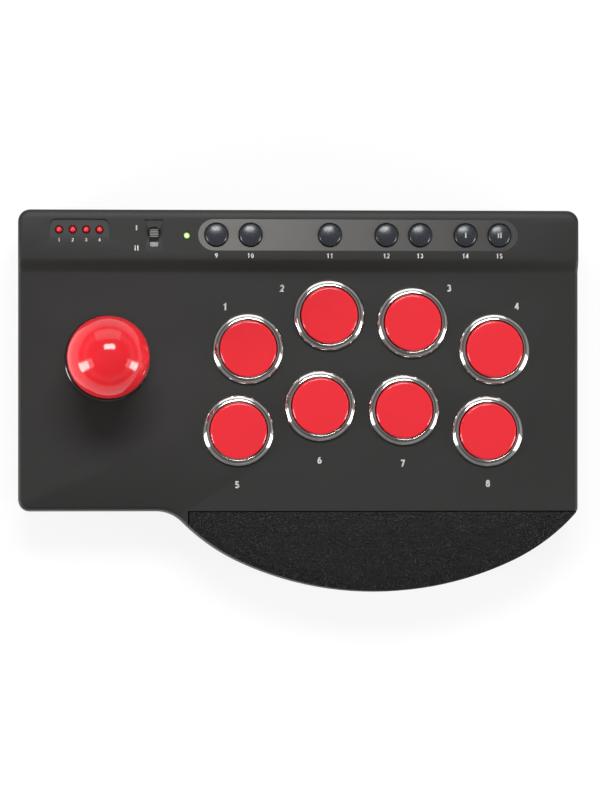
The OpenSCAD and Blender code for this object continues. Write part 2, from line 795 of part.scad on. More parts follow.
function pad_spine(p) =
    let (middle = lobe_x * stretch.x, reach = (half_w - middle) * pad_spine_reach_share)
        [max(middle - reach, min(middle + reach, p.x)), pad_spine_y];
function pad_ring(edge, share, rise) =
    [for (p = edge) let (q = p + share * (pad_spine(p) - p))
        [q.x, q.y, deck_z(q.y) + rise]];
module wrist_pad() {
    edge = pad_edge();
    rings = [for (i = [0:len(pad_roll_shares) - 1])
        pad_ring(edge, pad_roll_shares[i],
            i == 0 ? seat_gap - pad_t : pad_crown * pad_rise_shares[i])];
    color(pad_black) loft(rings, [whole_ring(len(edge), 0)]);
}

// Inlay plate of the strip
module inlay_plate() {
    color(inlay_grey) difference() {
        on_strip([inlay_x, strip_mid_y])
            round_plate(inlay_size, inlay_w / 2, -inlay_t, 0);
        for (x = menu_xs) {
            on_strip([x, strip_mid_y]) tube_span(menu_hole_d / 2, -inlay_t - over, over);
        }
    }
}

// Profile of a domed cap's top: a low crown that runs smoothly into the rolled edge
function domed_edge(r, h, roll, crown) =
    let (start = atan(2 * crown / (r - roll)),
        edge = [r - roll + roll * sin(start), h - roll + roll * cos(start)])
        concat(
            [for (k = [0:corner_steps]) let (s = k / corner_steps)
                [edge.x * s, edge.y + crown * (1 - s * s)]],
            [for (k = [1:corner_steps]) let (a = start + (90 - start) * k / corner_steps)
                [r - roll + roll * sin(a), h - roll + roll * cos(a)]]
        );

// Main button: a chromed bezel with its barrel and switch cradle in one piece
module bezel_ring() {
    lip_x = bore_r + bezel_lip_r;
    crown_x = bezel_r - bezel_crown_w;
    crown_turn = acos((lip_x - crown_x) / bezel_crown_w);
    crown_h = (bezel_h - bezel_side_h) / sin(crown_turn);
    rotate_extrude() polygon(concat(
        [[bore_r, -barrel_depth], [stem_r + run_gap, -barrel_depth],
         [stem_r + run_gap, -barrel_depth - barrel_floor], [barrel_r, -barrel_depth - barrel_floor],
         [barrel_r, 0], [bezel_r, 0], [bezel_r, bezel_side_h]],
        [for (i = [1:bezel_steps]) let (a = crown_turn * i / bezel_steps)
            [crown_x + bezel_crown_w * cos(a), bezel_side_h + crown_h * sin(a)]],
        [for (i = [1:corner_steps]) let (a = 90 + 90 * i / corner_steps)
            [lip_x + bezel_lip_r * cos(a), bezel_h - bezel_lip_r * (1 - sin(a))]]
    ));
}
module snap_tabs() {
    root_r = barrel_r - snap_root;
    top_w = -deck_t - seat_gap;
    for (a = [0, 180]) {
        rotate([0, 0, a - snap_turn / 2]) rotate_extrude(angle = snap_turn) polygon([
            [root_r, top_w], [barrel_r + snap_out, top_w],
            [barrel_r + snap_out, top_w - snap_out], [root_r, top_w - snap_h]
        ]);
    }
}
module switch_cradle() {
    inner_x = switch_len / 2 + seat_gap;
    for (s = [-1, 1]) {
        translate([s * (inner_x + cradle_t / 2), 0, 0])
            block([cradle_t, cradle_w], cradle_end_w, -barrel_depth - barrel_floor / 2);
        translate([s * (inner_x + cradle_t / 2 - cradle_toe / 2), 0, 0])
            block([cradle_t + cradle_toe, cradle_w], cradle_end_w,
                switch_top_w - switch_h - seat_gap);
    }
}
module button_bezel(i) {
    color(chrome_grey) on_deck(button_places[i]) {
        bezel_ring();
        snap_tabs();
        switch_cradle();
    }
}
module button_cap(i) {
    under_w = cap_h - cap_top_t;
    color(cap_red) on_deck(button_places[i]) rotate_extrude() polygon(concat(
        domed_edge(cap_r, cap_h, cap_roll, cap_crown),
        [[cap_r, -skirt_depth], [cap_r - skirt_t, -skirt_depth], [cap_r - skirt_t, under_w],
         [stem_r, under_w], [stem_r, cap_foot_w], [foot_flange_r, cap_foot_w],
         [stem_r, cap_foot_w - foot_flange_t], [0, cap_foot_w - foot_flange_t]]
    ));
}
module microswitch(len_x, len_y, h, top_w) {
    translate([0, 0, top_w - h]) {
        difference() {
            block([len_x, len_y], 0, h);
            for (s = [-1, 1]) {
                translate([s * len_x / 4, len_y, h / 4]) rotate([90, 0, 0])
                    cylinder(r = board_screw_r, h = 2 * len_y);
            }
        }
        for (s = [-1, 0, 1]) {
            translate([s * lug_pitch, 0, 0]) block([lug_t, lug_w], -lug_len, 0);
        }
    }
}
module button_switch(i) {
    color(gloss_black) on_deck(button_places[i]) {
        microswitch(switch_len, switch_w, switch_h, switch_top_w);
        block([nub_len, nub_w], switch_top_w, nub_top_w);
    }
}

// Small buttons of the strip, their dome pad and their board
module menu_button(i) {
    flange_bottom_w = menu_flange_w - menu_flange_t;
    color(gloss_black) on_strip([menu_xs[i], strip_mid_y]) rotate_extrude() polygon(concat(
        domed_edge(menu_r, menu_cap_h, menu_roll, menu_crown),
        [[menu_r, menu_flange_w], [menu_r + menu_flange_out, menu_flange_w],
         [menu_r + menu_flange_out, flange_bottom_w], [menu_stem_r, flange_bottom_w],
         [menu_stem_r, menu_foot_w], [0, menu_foot_w]]
    ));
}
module menu_dome_pad() {
    x0 = menu_xs[0] - dome_sheet_side;
    x1 = menu_xs[len(menu_xs) - 1] + dome_sheet_side;
    color(rubber_black) {
        difference() {
            on_strip([(x0 + x1) / 2, strip_mid_y])
                block([x1 - x0, dome_sheet_w], board_top_w, board_top_w + dome_sheet_t);
            board_posts(post_r + seat_gap, board_top_w - over, -deck_t);
        }
        for (x = menu_xs) {
            on_strip([x, strip_mid_y]) translate([0, 0, board_top_w + dome_sheet_t])
                cylinder(r1 = dome_r, r2 = dome_top_r, h = dome_h);
        }
    }
}
module menu_board() {
    color(board_green) difference() {
        on_strip([(board_x0 + board_x1) / 2, strip_mid_y])
            block([board_x1 - board_x0, board_d], board_top_w - board_t, board_top_w);
        board_posts(board_screw_r + run_gap, board_top_w - board_t - over, board_top_w + over);
    }
}
module board_screws() {
    color(steel_grey) for (x = post_xs) {
        on_strip([x, strip_mid_y + post_y_shift]) translate([0, 0, board_top_w - board_t])
            screw(board_screw_r, board_t + board_screw_bite, board_head_r, board_head_h);
    }
}

// Slide switch
module slide_knob() {
    pitch = knob_len / ridge_count;
    color(steel_grey) difference() {
        on_strip([slide_x, knob_y]) block([knob_w, knob_len], knob_foot_w, knob_top_w);
        for (k = [1:ridge_count]) {
            on_strip([slide_x, knob_y - knob_len / 2 + pitch * (k - 1 / 2)])
                block([knob_w + 2 * over, ridge_w], knob_top_w - ridge_deep, knob_top_w + over);
        }
    }
}
module slide_switch_body() {
    color(chrome_grey) {
        on_strip([slide_x, slot_y])
            block([slide_body_w, slide_body_len], board_top_w, slide_body_top_w);
        on_strip([slide_x, stop_rear_y - stop_len / 2])
            block([knob_w, stop_len], slide_body_top_w - over, stop_top_w);
    }
}

// Lamps: a flanged body on the board with a domed lens at the strip's surface
module lamp(at, dome_w) {
    on_strip(at) rotate_extrude() polygon(concat(
        [[0, board_top_w], [lamp_r + lamp_flange_out, board_top_w],
         [lamp_r + lamp_flange_out, board_top_w + lamp_flange_h],
         [lamp_r, board_top_w + lamp_flange_h]],
        arc([0, dome_w], lamp_r, 0, 90, corner_steps)
    ));
}
module player_lamps() {
    color(lamp_red) for (x = player_lamp_xs) {
        lamp([x, player_lamp_y], player_lamp_floor_w - lamp_r + lamp_rise);
    }
}
module power_lamp() {
    color(lamp_green) lamp(power_lamp_at, -lamp_r + lamp_rise);
}

// Main board in the lobe, and the cable inlet ring in the rear wall
module main_board_corners() {
    for (sx = [-1, 1], sy = [-1, 1]) {
        translate([main_board_at.x + sx * (main_board_w / 2 - 2 * standoff_r),
            main_board_at.y + sy * (main_board_d / 2 - 2 * standoff_r), 0]) children();
    }
}
module main_board() {
    top = board_t;
    color(board_green) translate([main_board_at.x, main_board_at.y, floor_z + standoff_h]) {
        block([main_board_w, main_board_d], 0, top);
        block([chip_w, chip_w], top, top + chip_h);
        for (s = [-1, 1]) {
            translate([s * main_board_w / 4, 0, 0])
                block([socket_w, socket_d], top, top + socket_h);
        }
    }
}
module cable_inlet() {
    color(rubber_black) translate([inlet_x, rear_y, inlet_z]) rotate([90, 0, 0])
        rotate_extrude() polygon([
            [inlet_r_bore, 0], [inlet_r, 0], [inlet_r, wall_t + seat_gap],
            [inlet_flange_r, wall_t + seat_gap], [inlet_flange_r, wall_t + seat_gap + inlet_flange_t],
            [inlet_r, wall_t + seat_gap + inlet_flange_t], [inlet_r, inlet_len],
            [inlet_r_bore, inlet_len]
        ]);
}

// Lever
module ball_top() {
    color(ball_red) on_deck(stick_at) difference() {
        translate([0, 0, ball_h]) sphere(r = ball_r);
        tube_span(ball_r, ball_h - ball_r - over, ball_flat_h);
        tube_span(stud_r + press_gap, 0, ball_flat_h + stud_len + press_gap);
    }
}
module stick_shaft() {
    color(chrome_grey) on_deck(stick_at) rotate_extrude() polygon([
        [0, shaft_bottom_w], [shaft_r - shaft_bevel, shaft_bottom_w],
        [shaft_r, shaft_bottom_w + shaft_bevel], [shaft_r, clip_top_w - clip_t],
        [groove_r, clip_top_w - clip_t], [groove_r, clip_top_w], [shaft_r, clip_top_w],
        [shaft_r, ball_flat_h - seat_gap], [stud_r, ball_flat_h - seat_gap],
        [stud_r, ball_flat_h + stud_len - shaft_bevel],
        [stud_r - shaft_bevel, ball_flat_h + stud_len], [0, ball_flat_h + stud_len]
    ]);
}
module pivot_ball() {
    color(nylon_white) on_deck(stick_at) difference() {
        translate([0, 0, pivot_w]) sphere(r = pivot_r);
        tube_span(shaft_r + press_gap, pivot_w - pivot_d, pivot_w + pivot_d);
    }
}
module stick_actuator() {
    color(gloss_black) on_deck(stick_at) rotate_extrude() polygon([
        [shaft_r + press_gap, actuator_top_w], [actuator_flange_r, actuator_top_w],
        [actuator_flange_r, actuator_top_w - actuator_flange_t],
        [actuator_r, actuator_top_w - 2 * actuator_flange_t], [actuator_r, actuator_bottom_w],
        [shaft_r + press_gap, actuator_bottom_w]
    ]);
}
module retaining_clip() {
    color(steel_grey) on_deck(stick_at) difference() {
        tube_span(clip_r, clip_top_w - clip_t + press_gap, clip_top_w - press_gap);
        tube_span(groove_r + press_gap, clip_top_w - clip_t - over, clip_top_w + over);
        translate([clip_r, 0, 0])
            block([2 * clip_r, 2 * groove_r], clip_top_w - clip_t - over, clip_top_w + over);
    }
}

// Centring spring: one round wire on a helix, 8 rings a turn and 6 sides
wire_sides = 6;
rings_a_turn = 8;
wire_rings = rings_a_turn * spring_turns;
function coil_point(i) =
    let (a = 360 * i / rings_a_turn,
        drop = (spring_len - 2 * spring_wire_r) * i / wire_rings)
        [spring_mean_r * cos(a), spring_mean_r * sin(a), spring_top_w - spring_wire_r - drop];
function wire_ring(i) =
    let (c = coil_point(i), a = 360 * i / rings_a_turn)
        [for (k = [0:wire_sides - 1]) let (b = 360 * k / wire_sides)
            c + spring_wire_r * [cos(b) * cos(a), cos(b) * sin(a), sin(b)]];
spring_self_gap = min([for (i = [0:wire_rings - rings_a_turn])
    norm(coil_point(i + rings_a_turn) - coil_point(i)) - 2 * spring_wire_r]);
echo(spring_self_gap = spring_self_gap);
module stick_spring() {
    n = wire_sides;
    rings = [for (i = [0:wire_rings]) wire_ring(i)];
    color(steel_grey) on_deck(stick_at) polyhedron(
        points = [for (r = rings) each r],
        faces = concat(
            [backwards([for (k = [0:n - 1]) k])],
            [for (i = [0:wire_rings - 1], k = [0:n - 1]) let (j = (k + 1) % n)
                each [[i * n + k, i * n + j, (i + 1) * n + j],
                    [i * n + k, (i + 1) * n + j, (i + 1) * n + k]]],
            [[for (k = [0:n - 1]) wire_rings * n + k]]
        )
    );
}
module washer(r, hole_r, from, thick, bevel) {
    rotate_extrude() polygon([
        [hole_r, from], [r, from], [r, from + thick - bevel], [r - bevel, from + thick],
        [hole_r, from + thick]
    ]);
}
module dust_washer() {
    color(gloss_black) on_deck(stick_at)
        washer(dust_r, dust_hole_r, loose_gap, dust_t, dust_bevel);
}
module lower_washer() {
    color(gloss_black) on_deck(stick_at)
        washer(lower_r, lower_hole_r, lower_w, lower_t, shaft_bevel / 2);
}

// Lever housing: a flange under the steel plate, the pivot's round seat, and a well below it
module stick_housing() {
    flange_bottom_w = housing_top_w - housing_flange_t;
    color(gloss_black) on_deck(stick_at) difference() {
        union() {
            round_plate([plate_w, plate_w], plate_corner, flange_bottom_w, housing_top_w);
            round_plate([housing_w, housing_w], housing_corner, housing_bottom_w,
                flange_bottom_w + over);
        }
        translate([0, 0, pivot_w]) sphere(r = pivot_r + run_gap);
        tube_span(pivot_r + run_gap, pivot_w, housing_top_w + over);
        tube_span(seat_open_r, ledge_w - over, pivot_w);
        tube_span(well_r, housing_bottom_w - over, ledge_w);
        stick_bosses(stick_screw_r + run_gap, flange_bottom_w - over, housing_top_w + over);
        gate_screws_at() tube_span(gate_screw_r + press_gap, housing_bottom_w - over,
            housing_bottom_w + gate_screw_bite + press_gap);
    }
}
module gate_screws_at() {
    for (a = [45:90:315]) {
        rotate([0, 0, a]) translate([gate_screw_at * sqrt(2), 0, 0]) children();
    }
}
module stick_plate() {
    color(steel_grey) on_deck(stick_at) difference() {
        round_plate([plate_w, plate_w], plate_corner, plate_bottom_w, plate_top_w);
        tube_span(plate_hole_r, plate_bottom_w - over, plate_top_w + over);
        stick_bosses(stick_screw_r + run_gap, plate_bottom_w - over, plate_top_w + over);
    }
}
module restrictor_gate() {
    color(gloss_black) on_deck(stick_at) difference() {
        round_plate([gate_w, gate_w], housing_corner, gate_bottom_w, housing_bottom_w);
        round_plate([2 * gate_half, 2 * gate_half], gate_corner, gate_bottom_w - over,
            housing_bottom_w + over);
        gate_screws_at() tube_span(gate_screw_r + run_gap, gate_bottom_w - over,
            housing_bottom_w + over);
    }
}
module stick_switches() {
    color(gloss_black) on_deck(stick_at) for (a = [0:90:270]) {
        rotate([0, 0, a]) translate([0, stick_nub_in + stick_nub_len, 0]) {
            translate([0, stick_switch_deep / 2, 0])
                block([stick_switch_len, stick_switch_deep],
                    stick_switch_top_w - stick_switch_h, stick_switch_top_w);
            translate([0, -stick_nub_len / 2, 0])
                block([nub_len, stick_nub_len], stick_nub_w - nub_w / 2, stick_nub_w + nub_w / 2);
            for (s = [-1, 0, 1]) {
                translate([s * lug_pitch, stick_switch_deep + stick_lug_len / 2, 0])
                    block([lug_t, stick_lug_len], stick_nub_w - lug_w / 2,
                        stick_nub_w + lug_w / 2);
            }
        }
    }
}
module stick_screws() {
    color(steel_grey) on_deck(stick_at) {
        for (sx = [-1, 1], sy = [-1, 1]) {
            translate([sx * stick_boss_at, sy * stick_boss_at,
                housing_top_w - housing_flange_t])
                screw(stick_screw_r, housing_flange_t + plate_t + stick_screw_bite,
                    stick_head_r, stick_head_h);
        }
        gate_screws_at() translate([0, 0, gate_bottom_w])
            screw(gate_screw_r, gate_t + gate_screw_bite, gate_head_r, gate_head_h);
    }
}

top_shell();
base_shell();
wrist_pad();
inlay_plate();
rubber_feet();
case_screws();
button_cap(0);  // button_cap_1
button_cap(1);  // button_cap_2
button_cap(2);  // button_cap_3
button_cap(3);  // button_cap_4
button_cap(4);  // button_cap_5
button_cap(5);  // button_cap_6
button_cap(6);  // button_cap_7
button_cap(7);  // button_cap_8
button_bezel(0);  // button_bezel_1
button_bezel(1);  // button_bezel_2
button_bezel(2);  // button_bezel_3
button_bezel(3);  // button_bezel_4
button_bezel(4);  // button_bezel_5
button_bezel(5);  // button_bezel_6
button_bezel(6);  // button_bezel_7
button_bezel(7);  // button_bezel_8
button_switch(0);  // button_switch_1
button_switch(1);  // button_switch_2
button_switch(2);  // button_switch_3
button_switch(3);  // button_switch_4
button_switch(4);  // button_switch_5
button_switch(5);  // button_switch_6
button_switch(6);  // button_switch_7
button_switch(7);  // button_switch_8
menu_button(0);  // menu_button_1
menu_button(1);  // menu_button_2
menu_button(2);  // menu_button_3
menu_button(3);  // menu_button_4
menu_button(4);  // menu_button_5
menu_button(5);  // menu_button_6
menu_button(6);  // menu_button_7
menu_dome_pad();
menu_board();
board_screws();
main_board();
slide_knob();
slide_switch_body();
player_lamps();
power_lamp();
cable_inlet();
ball_top();
stick_shaft();
pivot_ball();
stick_actuator();
retaining_clip();
stick_spring();
dust_washer();
lower_washer();
stick_housing();
stick_plate();
restrictor_gate();
stick_switches();
stick_screws();
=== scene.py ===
"""Arcade fight stick: finishes, wrist pad, prints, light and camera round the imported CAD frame."""

import math

import bmesh
import bpy
from mathutils import Matrix, Vector, noise


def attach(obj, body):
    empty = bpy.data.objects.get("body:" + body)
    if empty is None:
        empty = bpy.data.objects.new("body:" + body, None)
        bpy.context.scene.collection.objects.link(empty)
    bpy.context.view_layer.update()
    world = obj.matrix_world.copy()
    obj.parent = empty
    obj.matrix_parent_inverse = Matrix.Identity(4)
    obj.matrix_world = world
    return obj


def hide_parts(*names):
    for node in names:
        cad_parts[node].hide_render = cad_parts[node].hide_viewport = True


bl_info = {
    "name": "Arcade fight stick",
    "version": (1, 0, 0),
    "blender": (4, 5, 0),
    "location": "View3D > Sidebar > Fight stick",
    "description": "Dresses the arcade fight stick's frame with its finishes, pad and prints",
    "category": "Object",
}

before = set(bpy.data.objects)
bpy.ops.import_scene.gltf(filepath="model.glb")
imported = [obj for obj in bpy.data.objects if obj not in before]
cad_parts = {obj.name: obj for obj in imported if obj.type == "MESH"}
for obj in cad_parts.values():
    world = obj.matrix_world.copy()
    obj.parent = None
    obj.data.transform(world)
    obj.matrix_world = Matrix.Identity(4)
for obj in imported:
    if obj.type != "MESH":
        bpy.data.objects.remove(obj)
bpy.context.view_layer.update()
MM = 0.001

# The case's own sizes in millimetres, the same as in the part's source
TILT = math.radians(3)
CASE_W, CASE_D, SIDE_D = 280, 190, 149.2
DECK_H, STRIP_D, STRIP_RISE, STEP_RUN = 50.5, 24.4, 3.5, 6.9
FRONT_CORNER_R = 5.3
LOBE_X, LOBE_R, LOBE_HALF_TURN, SHOULDER_R, WAIST_R = 38.9, 161, 25, 100, 18
HALF_W, REAR_Y, FRONT_Y = CASE_W / 2, CASE_D / 2, -CASE_D / 2
SIDE_FRONT_Y = REAR_Y - SIDE_D
STEP_TOP_Y = REAR_Y - STRIP_D
STEP_FOOT_Y = STEP_TOP_Y - STEP_RUN
STRIP_MID_Y = 82.6
MENU_XS = (-41.5, -24.5, 15.1, 43.4, 60.2, 83.0, 100.0)
LAMP_XS = (-119.7, -112.9, -106.2, -99.6)
PAD_LEFT, PAD_SETBACK, PAD_T, PAD_GAP = 55.5, 0.6, 4, 0.3

# The wrist pad's rim, as shares of the way in to its spine with rises in millimetres, then its top
PAD_RIM = (
    (0, 0.1 - PAD_T), (0, -2.6), (0, -1.5), (0.001, -0.9),
    (0.005, -0.45), (0.012, -0.2), (0.03, 0.0),
)
PAD_INSET, PAD_REACH, PAD_STEPS, PAD_RISE_STEPS = 0.15, 0.9, 40, 26
PAD_SPINE_SHARE, PAD_RIM_SHARE = 0.62, 0.01
PAD_WAVE, PAD_WAVE_SCALE, PAD_WAVE_LEVEL = 0.12, 0.28, 3.0

# Printed marks: lift and thickness in millimetres, digits as shares of their height, bars
PRINT_LIFT, PRINT_T = 0.03, 0.02
DIGIT_W, DIGIT_PITCH, STROKE_SHARE, OVAL_STEPS = 0.6, 0.78, 0.23, 18
BAR_W, BAR_H, BAR_PITCH, BAR_STEPS = 0.7, 2.6, 1.3, 6

# Places of the printed marks
NUMBER_PLACES = (
    (-37.0, 46.9), (-8.6, 56.2), (75.1, 56.4), (109.2, 47.4),
    (-31.0, -41.7), (10.2, -29.5), (51.8, -31.0), (94.6, -41.2),
)
STRIP_NUMBER_Y, FIRST_STRIP_NUMBER, LAMP_NUMBER_Y = 72.3, 9, 80.0
SLIDE_MARK_X, SLIDE_MARK_YS, MARKED_KEYS = -81.2, (86.0, 76.0), (6, 7)

# The inlay's painted reflection, paler at its left end and darker at its right, as shares of its
# colour
PAINTED_REFLECTION_SHARES = (1.6, 0.5)

# Domed top of a small cap, as the part's source draws it
MENU_R, MENU_H, MENU_ROLL, MENU_CROWN = 5.5, 1.2, 1.1, 0.7

# The photo's own view: the camera's foot on the deck, the place it looks at, and the scale there
CAMERA_FOOT, AIM = (-118, -5), (0.4, 0.5)
SENSOR_W, PICTURE_LONG, MM_A_PIXEL, VIEW_REACH = 36, 800, 0.4992, 50

# The floor's radius, and how far it lies under the feet, in metres
FLOOR_R, FLOOR_DROP = 8, 0.0002

# How much of the floor's white is its own, so that it stays white with the shadow on it
FLOOR_GLOW = 0.84

# Brightness of the room by the height of the direction: floor line and overhead first, then between
ROOM_BANDS = ((0.0, 0.3), (1.0, 0.3), (0.15, 0.16), (0.34, 0.5), (0.66, 0.14))

# Softboxes: lean off the vertical and azimuth in degrees, distance and size in metres, watts
LIGHT_AIM = (0, 0, 0.05)
SOFTBOXES = (
    ("key softbox", 25.5, 93, 1.4, (0.68, 0.34), 14),
    ("rear wall panel", 64, 94, 1.8, (2.0, 1.1), 8),
    ("left window", 73, 199, 1.3, (0.5, 1.2), 5),
    ("left tube", 78, 199, 1.2, (0.34, 0.7), 9),
    ("right window", 76, -20, 1.3, (0.5, 1.2), 5),
    ("right tube", 81, -20, 1.2, (0.34, 0.7), 9),
)


def linear(hex_value):
    """A colour written as sRGB hex, as the linear values that shaders take."""
    channels = [(hex_value >> shift & 255) / 255 for shift in (16, 8, 0)]
    return tuple(
        c / 12.92 if c <= 0.04045 else ((c + 0.055) / 1.055) ** 2.4 for c in channels
    ) + (1.0,)


def deck_height(y):
    """Height of the deck over the table at a plan place, in millimetres."""
    return DECK_H + (y - STEP_FOOT_Y) * math.tan(TILT)


def deck_matrix(x, y, height):
    """A frame on the tilted deck at a plan place, at a height along its normal, in metres."""
    turn = Matrix.Rotation(TILT, 4, "X")
    place = Vector((x, y, deck_height(y))) + turn.to_3x3() @ Vector((0, 0, height))
    return Matrix.Translation(place * MM) @ turn


def strip_height():
    """Height of the strip over the deck's plane, along its normal."""
    return STRIP_RISE * math.cos(TILT)


# Materials


def add_node(tree, kind, inputs=None, **settings):
    """Adds a node, sets it, and fills its inputs with values or links."""
    node = tree.nodes.new(kind)
    for name, value in settings.items():
        setattr(node, name, value)
    for name, value in (inputs or {}).items():
        socket = node.inputs[name]
        if isinstance(value, bpy.types.NodeSocket):
            tree.links.new(value, socket)
        else:
            socket.default_value = value
    return node


def new_material(name, **values):
    """A material with its Principled shader's own sockets set."""
    material = bpy.data.materials.new(name)
    material.use_nodes = True
    tree = material.node_tree
    shader = tree.nodes["Principled BSDF"]
    for socket, value in values.items():
        shader.inputs[socket.replace("_", " ")].default_value = value
    coords = add_node(tree, "ShaderNodeTexCoord")
    return material, tree, shader, coords.outputs["Object"]


def repeat(size_mm):
    """The texture scale at which a pattern repeats about once in a size in millimetres."""
    return 1 / (size_mm * MM)


def grain(tree, shader, height, depth_mm, strength=1.0):
    """Turns a height into the shader's bump, of a depth in millimetres."""
    bump = add_node(
        tree,
        "ShaderNodeBump",
        {"Height": height, "Distance": depth_mm * MM, "Strength": strength},
    )
    tree.links.new(bump.outputs["Normal"], shader.inputs["Normal"])


def spread(tree, value, low, high):
    """Maps a 0 to 1 pattern to a range."""
    mapped = add_node(
        tree, "ShaderNodeMapRange", {"Value": value, "To Min": low, "To Max": high}
    )
    return mapped.outputs["Result"]


def between(tree, factor, dark, light):
    """Mixes two linear colours by a pattern."""
    # Sockets 6 and 7 are the mix node's two colours
    mix = add_node(tree, "ShaderNodeMix", {"Factor": factor, 6: dark, 7: light}, data_type="RGBA")
    return mix.outputs[2]


def cloudy(tree, factor, colour, share):
    """A colour that a pattern darkens and lightens by a share."""
    dark = tuple(c * (1 - share) for c in colour[:3]) + (1.0,)
    light = tuple(c * (1 + share) for c in colour[:3]) + (1.0,)
    return between(tree, factor, dark, light)


def moulded_plastic(name, colour, share, grain_mm, depth_mm, rough, **values):
    """Injection-moulded plastic: an even fine grain from the tool, and a faint cloudiness."""
    material, tree, shader, coords = new_material(name, **values)
    fine = add_node(
        tree,
        "ShaderNodeTexNoise",
        {"Vector": coords, "Scale": repeat(grain_mm), "Detail": 2, "Roughness": 0.6},
    )
    cloud = add_node(
        tree, "ShaderNodeTexNoise", {"Vector": coords, "Scale": repeat(36), "Detail": 3}
    )
    tree.links.new(
        cloudy(tree, cloud.outputs["Fac"], colour, share), shader.inputs["Base Color"]
    )
    tree.links.new(
        spread(tree, cloud.outputs["Fac"], rough[0], rough[1]),
        shader.inputs["Roughness"],
    )
    grain(tree, shader, fine.outputs["Fac"], depth_mm)
    return material


def case_coat(colour):
    """Moulded ABS under a matt soft-touch coat: even, dark grey, with a broad dull sheen."""
    # The coat's own grain is near 0.1 mm, drawn at 0.35 mm so that it shows
    return moulded_plastic(
        "moulded_abs_soft_touch",
        colour,
        0.07,
        0.35,
        0.012,
        (0.5, 0.56),
        IOR=1.5,
        Specular_IOR_Level=0.36,
    )


def base_texture(colour):
    """Moulded ABS from a spark-eroded tool: coarser grain that scatters the light."""
    return moulded_plastic(
        "moulded_abs_spark_texture", colour, 0.1, 0.6, 0.05, (0.55, 0.66), IOR=1.5
    )


def polished_red(name, colour):
    """Plastic from a polished tool: a clear mirror gloss over an even red, faint flow waves."""
    material, tree, shader, coords = new_material(name, IOR=1.49)
    waves = add_node(
        tree, "ShaderNodeTexNoise", {"Vector": coords, "Scale": repeat(11), "Detail": 2}
    )
    haze = add_node(
        tree, "ShaderNodeTexNoise", {"Vector": coords, "Scale": repeat(0.45), "Detail": 2}
    )
    tree.links.new(
        cloudy(tree, waves.outputs["Fac"], colour, 0.04), shader.inputs["Base Color"]
    )
    tree.links.new(
        spread(tree, haze.outputs["Fac"], 0.07, 0.13), shader.inputs["Roughness"]
    )
    grain(tree, shader, waves.outputs["Fac"], 0.02, 0.3)
    return material


def chrome_plate():
    """Chrome plated on moulded ABS: bright, neutral, with the slight ripple of plated plastic."""
    material, tree, shader, coords = new_material(
        "chrome_plated_abs", Metallic=1.0, Base_Color=linear(0xD0CECB)
    )
    ripple = add_node(
        tree, "ShaderNodeTexNoise", {"Vector": coords, "Scale": repeat(6), "Detail": 2}
    )
    haze = add_node(
        tree, "ShaderNodeTexNoise", {"Vector": coords, "Scale": repeat(0.7), "Detail": 3}
    )
    tree.links.new(
        spread(tree, haze.outputs["Fac"], 0.05, 0.13), shader.inputs["Roughness"]
    )
    grain(tree, shader, ripple.outputs["Fac"], 0.03, 0.35)
    return material


def zinc_steel(name, tone):
    """Steel with bright zinc plate: pale, finely drawn along its length, a little cloudy."""
    material, tree, shader, coords = new_material(name, Metallic=1.0)
    stretch = add_node(
        tree,
        "ShaderNodeMapping",
        {"Vector": coords, "Scale": (repeat(1.1), repeat(1.1), repeat(17))},
    )
    drawn = add_node(
        tree,
        "ShaderNodeTexNoise",
        {"Vector": stretch.outputs["Vector"], "Scale": 1, "Detail": 2},
    )
    tree.links.new(
        cloudy(tree, drawn.outputs["Fac"], linear(tone), 0.2),
        shader.inputs["Base Color"],
    )
    tree.links.new(
        spread(tree, drawn.outputs["Fac"], 0.22, 0.38), shader.inputs["Roughness"]
    )
    return material


def gloss_black(name, tone, roughness):
    """Black plastic from a polished tool: sharp reflections in deep black, faint handling haze."""
    material, tree, shader, coords = new_material(
        name, IOR=1.5, Base_Color=linear(tone)
    )
    haze = add_node(
        tree, "ShaderNodeTexNoise", {"Vector": coords, "Scale": repeat(1.4), "Detail": 4}
    )
    tree.links.new(
        spread(tree, haze.outputs["Fac"], roughness, roughness * 2),
        shader.inputs["Roughness"],
    )
    grain(tree, shader, haze.outputs["Fac"], 0.004, 0.2)
    return material


def satin_inlay(colour):
    """Satin polycarbonate label, its grey printed behind, with a painted reflection: pale at the
    left, darker to the right.
    """
    material, tree, shader, coords = new_material("satin_polycarbonate_label", IOR=1.58)
    fine = add_node(
        tree, "ShaderNodeTexNoise", {"Vector": coords, "Scale": repeat(0.17), "Detail": 2}
    )
    place = add_node(tree, "ShaderNodeSeparateXYZ", {0: coords})
    run = add_node(
        tree,
        "ShaderNodeMapRange",
        {
            "Value": place.outputs["X"],
            "From Min": MENU_XS[0] * MM,
            "From Max": MENU_XS[-1] * MM,
        },
    )
    # Painted reflection: the grey runs from pale at the left end to darker at the right end
    pale, deep = [tuple(c * share for c in colour[:3]) + (1.0,) for share in PAINTED_REFLECTION_SHARES]
    tree.links.new(
        between(tree, run.outputs["Result"], pale, deep), shader.inputs["Base Color"]
    )
    tree.links.new(spread(tree, fine.outputs["Fac"], 0.2, 0.28), shader.inputs["Roughness"])
    grain(tree, shader, fine.outputs["Fac"], 0.004)
    return material


def moulded_rubber():
    """Compression-moulded rubber: near black, dull, with a bloom that greys it unevenly."""
    return moulded_plastic(
        "moulded_rubber", linear(0x20201F), 0.25, 0.9, 0.05, (0.7, 0.85), IOR=1.52
    )


def natural_nylon():
    """Moulded natural nylon: milky off-white that light enters a little."""
    return moulded_plastic(
        "moulded_nylon",
        linear(0xE2DED2),
        0.05,
        0.5,
        0.01,
        (0.35, 0.45),
        IOR=1.53,
        Subsurface_Weight=0.15,
        Subsurface_Scale=0.002,
    )


def acetal_black():
    """Moulded black acetal: waxy, slightly shiny."""
    return moulded_plastic(
        "moulded_acetal", linear(0x181818), 0.15, 0.6, 0.01, (0.32, 0.42), IOR=1.48
    )


